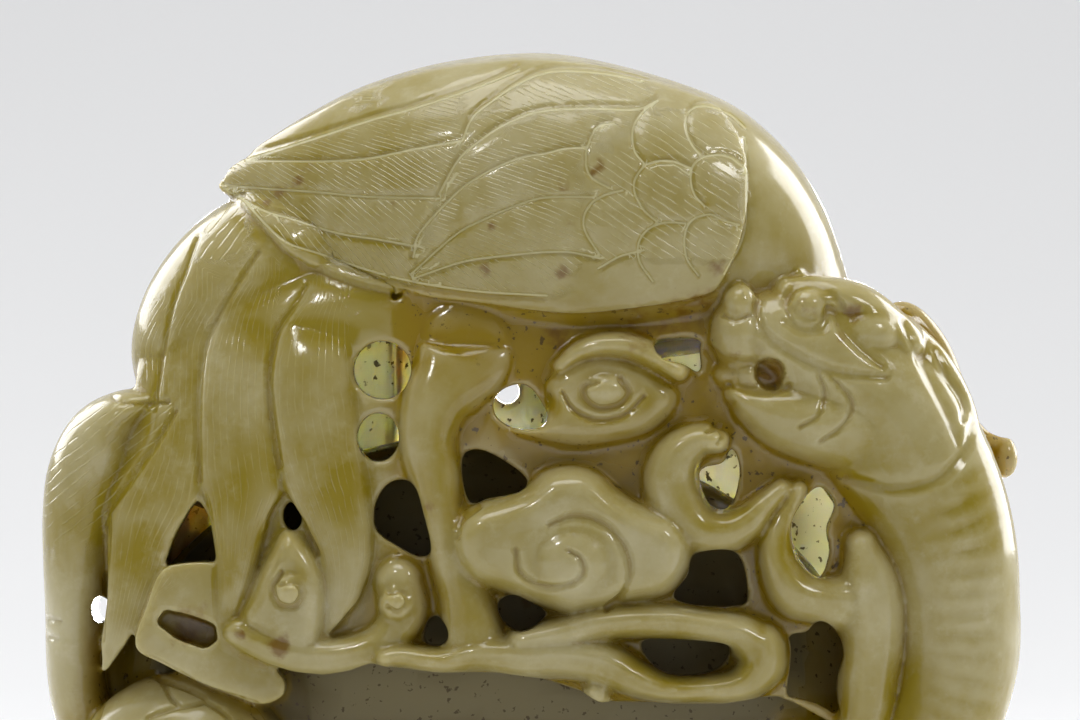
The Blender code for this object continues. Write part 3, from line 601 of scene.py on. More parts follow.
# The pierced clouds of the carved front.
FRONT_CLOUDS = Wall(
    surface=SHEET.round_front,
    ground=CLOUD_GROUND,
    thickness=40.8,
    bands=(
        (
            (466, 344, 44, -48), (464, 358, 48, -36), (452, 378, 42, -28), (435, 404, 34, -22),
            (428, 440, 29, -20), (436, 480, 26, -20), (443, 520, 21, -20), (452, 560, 22, -18),
            (466, 600, 27, -14), (474, 640, 34, -8),
        ),
        (
            (386, 656, 12, -2), (402, 654, 13, -4), (440, 659, 15, -4), (480, 652, 19, 0),
            (520, 655, 23, 2), (560, 654, 24, 2), (600, 660, 24, 2), (632, 676, 20, 2), (664, 687, 15, 2),
            (700, 688, 15, 2), (738, 684, 19, 2), (760, 664, 26, 2), (758, 645, 26, 0),
        ),
        (
            (520, 640, 16, 0), (560, 632, 18, 2), (605, 621, 18, 2), (660, 619, 19, 0), (700, 624, 18, 0),
            (738, 632, 21, 0), (760, 650, 27, 0),
        ),
        ((596, 690, 15, -10), (600, 720, 18, -14), (612, 760, 24, -30), (640, 800, 30, -40)),
        (
            (715, 440, 14, -8), (696, 440, 19, -8), (676, 456, 25, -10), (669, 480, 28, -12),
            (676, 505, 29, -12), (696, 527, 25, -12), (722, 532, 22, -12), (746, 521, 19, -14),
            (763, 504, 14, -16), (780, 488, 11, -20),
        ),
        (
            (797, 489, 10, -24), (784, 515, 14, -22), (775, 540, 18, -18), (778, 565, 21, -14),
            (792, 590, 26, -10), (815, 599, 25, -10), (842, 602, 30, -10),
        ),
        (
            (860, 544, 17, -14), (867, 574, 30, -10), (870, 606, 37, -8), (873, 640, 33, -8),
            (869, 676, 31, -10), (865, 718, 29, -14), (850, 770, 28, -24), (820, 805, 26, -44),
        ),
        (
            (560, 366, 8, -26), (578, 352, 11, -22), (600, 345, 13, -18), (628, 346, 14, -16),
            (652, 356, 14, -16), (668, 366, 12, -14), (678, 371, 11, -10),
        ),
        (
            (238, 632, 18, -22), (272, 648, 20, -20), (310, 656, 21, -20), (350, 654, 20, -20),
            (384, 640, 20, -22), (404, 612, 24, -24), (400, 580, 24, -28),
        ),
    ),
    bosses=(
        (604, 390, 27, 20, -16), (573, 562, 56, 51, 12), (291, 590, 20, 20, -8), (398, 602, 20, 20, -10),
    ),
    plates=(
        Plate(
            (
                (450, 538), (455, 519), (472, 504), (500, 495), (522, 487), (545, 469), (572, 464),
                (597, 471), (620, 490), (648, 505), (672, 513), (688, 530), (692, 552), (682, 578),
                (662, 596), (625, 603), (598, 611), (568, 614), (538, 604), (505, 592), (472, 580),
                (455, 562),
            ),
            2,
            24,
        ),
        Plate(
            (
                (553, 372), (575, 358), (605, 353), (640, 362), (662, 376), (676, 392), (672, 412),
                (650, 432), (615, 442), (575, 446), (540, 440), (512, 430), (535, 422), (548, 405),
                (545, 388),
            ),
            -28,
            18,
        ),
        Plate(
            (
                (286, 528), (306, 540), (322, 566), (328, 600), (322, 645), (300, 660), (262, 640),
                (240, 620), (252, 590), (268, 555),
            ),
            -22,
            18,
        ),
    ),
    span=(222, 914),
    top=(
        (222, 520), (290, 480), (330, 350), (380, 312), (440, 270), (800, 270), (850, 330), (914, 420),
    ),
    foot=(
        (222, 634), (240, 648), (266, 661), (295, 670), (325, 673), (350, 669), (371, 661), (386, 664),
        (440, 670), (500, 670), (540, 676), (582, 690), (600, 700), (700, 702), (760, 700), (790, 700),
        (830, 722), (880, 760), (914, 770),
    ),
    openings=(
        (
            (398, 479), (415, 484), (424, 510), (432, 548), (420, 556), (398, 545), (378, 530),
            (375, 508), (384, 488),
        ),
        (
            (464, 454), (480, 449), (503, 459), (527, 478), (520, 491), (488, 498), (471, 503),
            (463, 478),
        ),
        (
            (494, 400), (505, 388), (522, 384), (534, 391), (547, 414), (541, 427), (516, 428),
            (497, 417),
        ),
        ((655, 341), (696, 339), (699, 350), (699, 372), (682, 364), (660, 358)),
        ((699, 470), (722, 462), (731, 446), (739, 468), (734, 498), (722, 509), (706, 500)),
        (
            (817, 486), (834, 503), (826, 528), (829, 552), (820, 577), (804, 566), (790, 538),
            (793, 513),
        ),
        ((694, 552), (736, 552), (747, 597), (734, 605), (694, 604), (672, 595), (687, 574)),
        ((640, 642), (662, 637), (722, 641), (728, 654), (716, 668), (688, 674), (658, 668)),
        ((499, 600), (514, 593), (530, 600), (546, 611), (534, 625), (516, 629), (501, 616)),
        ((427, 622), (437, 614), (447, 624), (449, 636), (441, 644), (426, 641)),
        (
            (788, 635), (806, 631), (818, 619), (834, 629), (843, 652), (837, 690), (846, 800),
            (776, 800), (790, 660),
        ),
        ((622, 706), (700, 704), (784, 696), (842, 722), (842, 800), (690, 800), (640, 760)),
    ),
    drilled=((383, 370, 29.0, 1.0), (379, 437, 21.1, 1.15), (294, 515, 9.9, 1.5)),
)


# The plainer clouds of the far side.
FAR_CLOUDS = Wall(
    surface=SHEET.round_front,
    ground=CLOUD_GROUND,
    thickness=24,
    bands=(
        (
            (460, 346, 46, -44), (445, 384, 36, -24), (430, 450, 28, -18), (440, 540, 24, -16),
            (470, 640, 30, -10),
        ),
        (
            (300, 668, 16, -8), (380, 650, 20, -4), (480, 645, 24, 0), (590, 655, 24, 0),
            (690, 640, 22, -2), (770, 600, 24, -4), (800, 540, 22, -8), (775, 490, 16, -10),
        ),
        ((690, 440, 16, -8), (660, 470, 26, -8), (676, 515, 26, -8), (720, 528, 18, -12)),
        ((520, 372, 14, -18), (580, 346, 20, -14), (650, 356, 18, -14), (676, 380, 12, -16)),
        ((500, 690, 26, -10), (520, 740, 30, -20), (560, 790, 34, -40)),
    ),
    bosses=(
        (590, 398, 72, 50, -18), (592, 396, 28, 22, -6), (500, 556, 48, 44, 2), (560, 522, 50, 46, 2),
        (622, 560, 48, 42, 2),
    ),
    span=(222, 985),
    top=(
        (222, 520), (290, 480), (330, 350), (380, 312), (440, 270), (830, 270), (860, 316), (900, 356),
        (940, 412), (965, 470), (985, 560),
    ),
    foot=((222, 700), (350, 732), (531, 748), (700, 744), (985, 720)),
    openings=(
        ((370, 480), (398, 490), (404, 540), (384, 560), (366, 530)),
        ((700, 570), (736, 560), (744, 600), (712, 612)),
        ((250, 520), (275, 510), (284, 560), (262, 580)),
    ),
    drilled=(
        (506, 392, 13.0, 1.0), (330, 430, 23.2, 1.0), (742, 400, 21.1, 1.0), (620, 700, 13.2, 1.2),
    ),
)


@dataclass(frozen=True)
class Beast:
    """The dragon-headed tortoise: its neck and head, its domed back, its feet and the shell's rim."""

    neck: Mass = Mass(
        (
            (820, 800, -20, 66, 84), (890, 776, -36, 68, 84), (934, 724, -50, 66, 84),
            (954, 660, -60, 67, 84), (953, 600, -66, 69, 84), (946, 550, -72, 73, 84),
            (928, 500, -80, 79, 82), (900, 452, -90, 84, 78), (866, 410, -104, 82, 72),
            (830, 374, -120, 76, 64), (795, 346, -132, 62, 56), (764, 334, -140, 46, 48),
            (740, 334, -146, 32, 40),
        )
    )
    jaw: Mass = Mass(
        (
            (734, 392, -158, 12, 24), (752, 404, -154, 24, 36), (782, 416, -146, 36, 46),
            (830, 424, -130, 46, 54), (880, 432, -110, 50, 58),
        )
    )
    ear: Mass = Mass(
        (
            (884, 316, -60, 8, 14), (906, 318, -58, 17, 18), (932, 346, -56, 18, 18),
            (954, 382, -56, 12, 16), (968, 412, -56, 5, 12),
        )
    )
    crown: Mass = Mass(
        (
            (786, 294, -140, 16, 26), (820, 296, -136, 20, 36), (858, 308, -122, 24, 42),
            (896, 340, -104, 26, 46),
        )
    )
    mane: Mass = Mass(
        (
            (905, 326, -96, 12, 22), (934, 368, -98, 20, 25), (958, 410, -94, 18, 25),
            (972, 450, -86, 12, 22),
        )
    )
    far_cloud_edge: Mass = Mass(
        (
            (846, 296, 128, 18, 26), (884, 338, 112, 18, 26), (924, 392, 92, 18, 26),
            (950, 450, 76, 18, 26), (968, 530, 58, 18, 28), (970, 620, 46, 18, 30),
            (956, 720, 40, 24, 34), (900, 790, 40, 30, 40),
        )
    )
    wisp: Mass = Mass(
        (
            (930, 392, 20, 20, 24), (962, 414, 30, 12, 14), (988, 438, 34, 9, 12), (1003, 446, 34, 9, 12),
        )
    )
    wisp_root: Mass = Mass(
        ((880, 380, 10, 40, 50), (930, 392, 16, 24, 40))
    )
    balls: Points = (
        (490, 718, 26, 384, 284, 112), (506, 806, 6, 400, 70, 160), (330, 812, -104, 84, 50, 60),
        (740, 812, -104, 84, 50, 60), (300, 812, 100, 84, 50, 60), (760, 812, 100, 84, 50, 60),
        (184, 776, -64, 112, 104, 92), (738, 304, -166, 17, 20, 22), (738, 334, -152, 30, 40, 38),
        (805, 307, -166, 19, 18, 18), (752, 374, -148, 42, 22, 27), (862, 334, -146, 34, 26, 26),
        (1012, 459, 34, 13, 21, 15),
    )
    block: Points = (
        (163, 570), (190, 562), (222, 566), (226, 600), (232, 634), (258, 656), (283, 676), (284, 694),
        (262, 703), (232, 693), (201, 681), (165, 663), (137, 645), (148, 605),
    )
    block_steps: int = 5
    block_depths: tuple[float, float] = (-142, -60)
    slot_depths: tuple[float, float] = (-200, -104)
    slot: Points = ((157, 622), (166, 608), (192, 614), (217, 623), (219, 640), (206, 648), (178, 638))

    def build(self) -> list[bpy.types.Object]:
        """The beast's closed forms."""
        masses = {
            "neck": self.neck,
            "jaw": self.jaw,
            "ear": self.ear,
            "crown": self.crown,
            "mane": self.mane,
            "far_cloud_edge": self.far_cloud_edge,
            "wisp": self.wisp,
            "wisp_root": self.wisp_root,
        }
        made = [mass.build(name) for name, mass in masses.items()]
        made += [ball("form", *numbers) for numbers in self.balls]
        slot = prism("slot", np.array(self.slot, float), *self.slot_depths)
        outline = smooth_path(self.block, self.block_steps, closed=True)[:-1]
        made.append(cut(prism("block", outline, *self.block_depths), [slot]))
        return made


@dataclass(frozen=True)
class WingCarving:
    """The lines and barbs cut into the folded wing and the shoulder's scale feathers.

    Attributes:
        outline: the edge of the wing, which stands a little proud of the body.
        rise: how far it stands proud, in squares.
        barb_root: squares down, and squares across where the long feathers' barbs end.
        barb_end: squares down, and squares across where the short feathers' barbs end.
        long_barbs: angle and pitch of the barbs of each long feather, from the top.
        short_barbs: angle and pitch of the barbs of each short feather, from the top.
        patch_box: squares across and down that bound the scale feathers' fine lines.
        notch_box: squares across, and squares over the leading line, of the short strokes there.
    """

    outline: Points = (
        (222, 182), (262, 142), (320, 108), (400, 74), (470, 58), (560, 56), (650, 76), (712, 104),
        (742, 150), (747, 200), (738, 245), (722, 280), (700, 297), (620, 310), (560, 313), (470, 302),
        (370, 290), (300, 262), (262, 228),
    )
    rise: float = 8.0
    leading: Points = ((247, 158), (308, 141), (373, 121), (415, 110), (473, 91), (517, 73))
    primaries: tuple[Points, ...] = (
        ((247, 160), (320, 162), (368, 160), (415, 151), (461, 143)),
        ((218, 183), (262, 188), (320, 193), (370, 198), (442, 200)),
        ((219, 186), (262, 210), (291, 219), (339, 234), (377, 240), (421, 248)),
    )
    secondaries: tuple[Points, ...] = (
        ((463, 143), (473, 120), (492, 104), (515, 88), (544, 75), (579, 73), (615, 77), (645, 84)),
        ((440, 196), (459, 162), (479, 144), (505, 127), (540, 114), (590, 111), (633, 112), (654, 104)),
        ((415, 255), (421, 234), (454, 198), (479, 179), (517, 161), (544, 156), (565, 151), (586, 150)),
        ((414, 273), (454, 238), (480, 223), (526, 204), (552, 199), (590, 199)),
        ((415, 279), (463, 263), (505, 257), (561, 253), (597, 259)),
    )
    scales: tuple[Points, ...] = (
        ((743, 127), (728, 114), (701, 107), (686, 116), (685, 134), (692, 149), (701, 159)),
        ((743, 170), (728, 159), (711, 157), (695, 163), (689, 177), (692, 195), (701, 206)),
        ((736, 226), (722, 222), (708, 216), (690, 222), (683, 238), (685, 259), (695, 274)),
        ((688, 170), (669, 163), (647, 166), (635, 179), (633, 193), (642, 211), (656, 224)),
        ((654, 104), (640, 116), (632, 131), (633, 152), (643, 166)),
        ((611, 126), (597, 129), (590, 141), (585, 161), (590, 179), (608, 190)),
        ((619, 193), (604, 197), (590, 206), (583, 220), (585, 234), (597, 253)),
        ((683, 225), (664, 224), (648, 230), (638, 243), (638, 262), (650, 280)),
        ((640, 252), (618, 258), (600, 268)),
    )
    shoulder: Points = ((744, 141), (745, 188), (744, 224), (738, 247), (724, 272))
    lower_band: Points = (
        (224, 190), (262, 236), (301, 261), (358, 282), (415, 296), (505, 303), (560, 306), (642, 294),
        (686, 277)
    )
    upper_band: Points = ((232, 188), (281, 238), (320, 254), (396, 278), (470, 291), (544, 296))
    line_width: float = 3.4
    line_depth: float = 1.9
    barb_root: Points = ((140, 463), (200, 441), (255, 416), (300, 414))
    barb_end: Points = ((70, 655), (104, 652), (131, 628), (160, 582), (200, 580), (260, 590), (300, 560))
    long_barbs: Points = ((17, 4.2), (31, 4.6), (41, 5.4), (50, 6.0))
    short_barbs: Points = ((24, 5.0), (17, 4.4), (20, 4.6), (23, 4.8), (34, 5.6))
    barb_margin: float = 8.0
    patch_box: tuple[float, ...] = (742, 112, 262)
    patch_barbs: tuple[float, float] = (33, 7.5)
    patch_strength: float = 0.8
    notch_box: tuple[float, ...] = (352, 382, 40, 14)
    notch_pitch: float = 3.6

    def lines(self) -> list[np.ndarray]:
        """Every engraved line of the wing as a smooth path."""
        feathers = (self.leading, *self.primaries, *self.secondaries, *self.scales)
        return [smooth_path(points) for points in (*feathers, self.shoulder, self.upper_band)]

    def barb_rows(self, across: np.ndarray, down: np.ndarray) -> tuple[np.ndarray, np.ndarray]:
        """The fine strokes' running number at each place, and how strongly they show.

        Args:
            across: squares across of each place.
            down: squares down of each place.

        Returns:
            The stroke number, whose whole values are strokes, and a strength from 0 to 1.
        """
        rows = np.zeros(across.shape)
        strength = np.zeros(across.shape)
        split, limit = read_off(down, self.barb_root), read_off(down, self.barb_end)
        above = read_off(across, self.leading)
        below = read_off(across, self.lower_band) - self.barb_margin
        long_edges = [above, *(read_off(across, sorted(points)) for points in self.primaries), below]
        short_edges = [*(read_off(across, sorted(points)) for points in self.secondaries), below]
        for place, edges, barbs in (
            (across < split, long_edges, self.long_barbs),
            ((across >= split) & (across < limit), short_edges, self.short_barbs),
        ):
            for upper, lower, (angle, pitch) in zip(edges[:-1], edges[1:], barbs):
                within = place & (down > upper + 1) & (down < lower - 1)
                rows[within] = slanted(across, down, angle, pitch)[within]
                strength[within] = 1.0
        right, top, bottom = self.patch_box
        patch = (across >= limit) & (across < right) & (down > top) & (down < bottom)
        rows[patch] = slanted(across, down, *self.patch_barbs)[patch]
        strength[patch] = self.patch_strength
        left, right, high, low = self.notch_box
        notch = (across > left) & (across < right) & (down > above - high) & (down < above - low)
        rows[notch] = down[notch] / self.notch_pitch
        strength[notch] = 1.0
        return rows, strength


@dataclass(frozen=True)
class HeadCarving:
    """Lines that part the head's forms: squares across, squares down and half width."""

    lines: tuple[Points, ...] = (
        ((706, 350, 8), (722, 360, 7), (750, 364, 7), (770, 374, 7)),
        ((728, 385, 5), (746, 389, 6), (764, 391, 6), (786, 386, 5)),
        ((755, 304, 5), (757, 321, 6), (768, 339, 7), (790, 354, 7), (816, 367, 7), (844, 374, 7),
         (884, 377, 5)),
        ((784, 322, 6), (800, 330, 7), (820, 328, 7), (829, 311, 7), (840, 328, 7), (858, 348, 7),
         (880, 366, 5)),
        ((783, 304, 5), (792, 288, 6), (812, 284, 6), (830, 294, 6), (840, 306, 5)),
        ((784, 308, 3), (791, 322, 3), (805, 328, 3), (820, 322, 3), (826, 307, 3)),
        ((972, 424, 6), (962, 452, 8), (935, 478, 8), (890, 488, 8), (845, 478, 7)),
        ((902, 322, 5), (922, 366, 7), (938, 396, 8), (950, 420, 8), (958, 444, 6)),
        ((934, 350, 5), (948, 376, 6), (962, 400, 6), (962, 420, 5)),
        ((815, 370, 3), (822, 394, 4), (816, 415, 4), (798, 426, 3)),
        ((829, 376, 3), (846, 396, 4), (849, 411, 4), (837, 428, 4), (818, 441, 3)),
        ((722, 316, 3), (734, 320, 4), (749, 315, 3)),
    )
    depth: float = 3.0


@dataclass(frozen=True)
class CloudCarving:
    """The spirals and folds cut into the clouds: squares across, squares down and half width."""

    lines: tuple[Points, ...] = (
        ((550, 522, 4), (575, 514, 6), (602, 522, 6), (622, 543, 6), (629, 568, 6), (622, 592, 5),
         (606, 606, 4)),
        ((516, 548, 4), (520, 570, 5), (540, 583, 5), (566, 583, 5), (582, 572, 5), (580, 556, 4),
         (568, 548, 3)),
        ((597, 381, 3), (584, 386, 4), (584, 398, 4), (598, 408, 4), (618, 405, 4), (628, 393, 4),
         (620, 378, 4)),
        ((562, 392, 3), (574, 410, 4), (597, 419, 4), (624, 414, 4), (643, 396, 3)),
        ((281, 582, 3), (298, 580, 4), (305, 592, 4), (296, 605, 4), (280, 602, 4), (274, 586, 4),
         (284, 570, 3)),
        ((390, 590, 3), (404, 588, 4), (410, 600, 4), (400, 610, 4), (388, 604, 3)),
        ((706, 430, 3), (716, 426, 4), (722, 434, 4), (716, 444, 3)),
        ((480, 505, 3), (462, 518, 4), (458, 536, 3)),
    )
    depth: float = 4.0


@dataclass(frozen=True)
class PlumeCarving:
    """The folds of the far left plume and the valleys between the tail feathers."""

    lines: tuple[Points, ...] = (
        ((176, 410, 3), (160, 436, 5), (138, 468, 5), (118, 496, 5), (108, 512, 4)),
        ((104, 392, 3), (122, 402, 4), (146, 404, 4), (168, 402, 3)),
        ((36, 622, 3), (46, 620, 4), (58, 622, 3)),
        ((36, 640, 3), (44, 638, 4), (54, 640, 3)),
        ((108, 511, 3), (107, 540, 4), (104, 580, 4), (102, 640, 3)),
        ((259, 252, 3), (240, 280, 4), (216, 320, 5), (203, 353, 5), (198, 418, 5), (200, 480, 4)),
        ((307, 286, 3), (295, 306, 4), (278, 333, 5), (270, 377, 5), (272, 406, 5), (281, 465, 4)),
        ((196, 236, 3), (184, 270, 4), (170, 310, 4), (160, 360, 4), (154, 410, 3)),
    )
    depth: float = 2.6
    fold: Points = ((400, 176), (436, 160), (468, 138), (512, 106), (560, 100))
    plume_reach: tuple[float, float] = (402, 558)
    plume_strokes: tuple[float, float] = (-38, 8.5)
    rump_box: tuple[float, ...] = (176, 250, 204, 262)
    rump_strokes: tuple[float, float] = (-52, 9.0)
    strength: float = 0.5

    def barb_rows(self, across: np.ndarray, down: np.ndarray) -> tuple[np.ndarray, np.ndarray]:
        """Running number and strength of the plume's slanting strokes and the rump's short ones."""
        top, bottom = self.plume_reach
        plume = (across < read_off(down, self.fold)) & (down > top) & (down < bottom)
        rows = np.where(plume, slanted(across, down, *self.plume_strokes), 0.0)
        strength = np.where(plume, self.strength * np.clip((bottom - down) / 40, 0, 1), 0.0)
        left, right, top, bottom = self.rump_box
        rump = (across > left) & (across < right) & (down > top) & (down < bottom)
        rump &= across - 214 > (top - down) * 0.4
        rows = np.where(rump, slanted(across, down, *self.rump_strokes), rows)
        return rows, np.where(rump, self.strength, strength)


@dataclass(frozen=True)
class ShellCarving:
    """The hexagons of the shell patch and the bands of the block beside it."""

    lines: tuple[Points, ...] = (
        ((122, 683, 3), (142, 676, 3), (160, 680, 3), (172, 697, 3), (180, 705, 3)),
        ((160, 680, 3), (186, 688, 3), (206, 700, 3), (172, 708, 3), (150, 716, 3)),
        ((122, 683, 3), (104, 700, 3), (96, 722, 3)),
        ((206, 700, 3), (228, 716, 3), (240, 740, 3)),
        ((150, 716, 3), (140, 740, 3), (156, 764, 3)),
        ((150, 654, 3), (176, 668, 3), (206, 686, 3), (258, 702, 3)),
    )
    depth: float = 3.0


@dataclass(frozen=True)
class Engraver:
    """Moves the skin's points to cut the carving's lines and raise its wing.

    Attributes:
        edge_grains: width of the raised wing's edge in grains of the skin.
        front_depth: lines of the front are cut where the skin lies nearer than this.
        face_depth: the mouth's pit is sunk where the skin lies nearer than this.
        mouth_pit: squares across, squares down, radius and depth of the pit.
        rib_corner: squares across and down past which the neck has ribs.
        rib_run: squares along the neck at which the ribs begin and end.
        rib_fade: squares over which they come and go.
        rib_sides: squares across where they begin and how fast, then where they end and how fast.
        rib_back: depth behind which there are none.
    """

    wing: WingCarving = WingCarving()
    head: HeadCarving = HeadCarving()
    clouds: CloudCarving = CloudCarving()
    shell: ShellCarving = ShellCarving()
    plume: PlumeCarving = PlumeCarving()
    edge_grains: float = 1.8
    front_depth: float = -26.0
    face_depth: float = -90.0
    mouth_pit: tuple[float, ...] = (768, 373, 15.0, 12.0)
    rib_pitch: float = 20.5
    rib_depth: float = 1.1
    rib_corner: tuple[float, float] = (850, 430)
    rib_run: tuple[float, float] = (60, 430)
    rib_fade: float = 60.0
    rib_sides: tuple[float, ...] = (912, 50, 1008, 40)
    rib_back: float = 40.0

    def carve(self, obj: bpy.types.Object, grain: float, neck: Mass) -> None:
        """Cuts every line into the fused skin.

        Args:
            obj: the skin.
            grain: the skin's voxel size.
            neck: the neck's stations, which the ribs follow.
        """
        points, normals = mesh_arrays(obj.data)
        across, down, depth = SHEET.squares(points)
        facing = np.clip(np.abs(normals[:, 1]) * 4 - 0.6, 0, 1)
        ring = smooth_path(self.wing.outline, closed=True)
        gap, _ = near_path(across, down, ring)
        step = np.clip(gap * SQUARE / (self.edge_grains * grain), 0, 1)
        lift = self.wing.rise * step * inside(across, down, ring) * facing
        sunk = np.zeros(len(points))
        for line in self.wing.lines():
            self._groove(sunk, across, down, facing, line, self.wing.line_width, self.wing.line_depth)
        front = np.clip(-normals[:, 1] * 3, 0, 1) * (depth < self.front_depth)
        for group in (self.head, self.clouds, self.shell, self.plume):
            for drawn in group.lines:
                self._groove(sunk, across, down, front, smooth_path(drawn), None, group.depth)
        sunk += self._ribs(across, down, depth, neck)
        x, y, radius, deep = self.mouth_pit
        pit = np.clip((radius - np.hypot(across - x, down - y)) * SQUARE / grain + 0.5, 0, 1)
        pit *= depth < self.face_depth
        points += normals * ((lift - sunk) * SQUARE)[:, None]
        points[:, 1] += pit * deep * SQUARE
        obj.data.vertices.foreach_set("co", points.ravel())
        obj.data.update()

    @staticmethod
    def _groove(
        sunk: np.ndarray, across: np.ndarray, down: np.ndarray, facing: np.ndarray, path: np.ndarray,
        width: float | None, depth: float,
    ) -> None:
        """Sinks a rounded groove along one path into the running depths.

        Args:
            sunk: how far each point is sunk so far, which is changed.
            across: squares across of each point.
            down: squares down of each point.
            facing: from 0 to 1, how well each point faces the tool.
            path: the groove's path, with half its width as a third number if it varies.
            width: half the groove's width, where it is the same all along.
            depth: the groove's depth in squares.
        """
        reach = 16 if width is None else width + 2
        index = np.flatnonzero(beside(across, down, path, reach) & (facing > 0))
        if not len(index):
            return
        gap, found = near_path(across[index], down[index], path)
        half = width if width is not None else found[:, 0] * 1.25
        cut_depth = depth * (1 - np.clip(gap / half, 0, 1) ** 2) ** 2 * facing[index]
        sunk[index] = np.maximum(sunk[index], cut_depth)

    def _ribs(self, across: np.ndarray, down: np.ndarray, depth: np.ndarray, neck: Mass) -> np.ndarray:
        """Depths of the shallow rings round the neck."""
        path = smooth_path(neck.points, 8)
        along = np.concatenate([[0], np.cumsum(np.hypot(*np.diff(path[:, :2], axis=0).T))])
        index = np.flatnonzero((across > self.rib_corner[0]) & (down > self.rib_corner[1]))
        stations = np.column_stack([path[:, :2], along, path[:, 3]])
        gap, found = near_path(across[index], down[index], stations)
        wave = 0.5 - 0.5 * np.cos(2 * math.pi * found[:, 0] / self.rib_pitch)
        start, end = self.rib_run
        fade = np.clip((found[:, 0] - start) / self.rib_fade, 0, 1)
        fade = fade * np.clip((end - found[:, 0]) / self.rib_fade, 0, 1)
        left, left_run, right, right_run = self.rib_sides
        place = across[index]
        fade *= np.clip((place - left) / left_run, 0, 1) * np.clip((right - place) / right_run, 0, 1)
        shown = (gap < found[:, 1] * 1.2) & (depth[index] < self.rib_back)
        sunk = np.zeros(len(across))
        sunk[index] = self.rib_depth * wave**1.3 * fade * shown
        return sunk


def mesh_arrays(mesh: bpy.types.Mesh) -> tuple[np.ndarray, np.ndarray]:
    """The mesh's points and its outward directions, as rows."""
    count = len(mesh.vertices)
    points, normals = np.empty(count * 3), np.empty(count * 3)
    mesh.vertices.foreach_get("co", points)
    mesh.vertices.foreach_get("normal", normals)
    return points.reshape(-1, 3), normals.reshape(-1, 3)


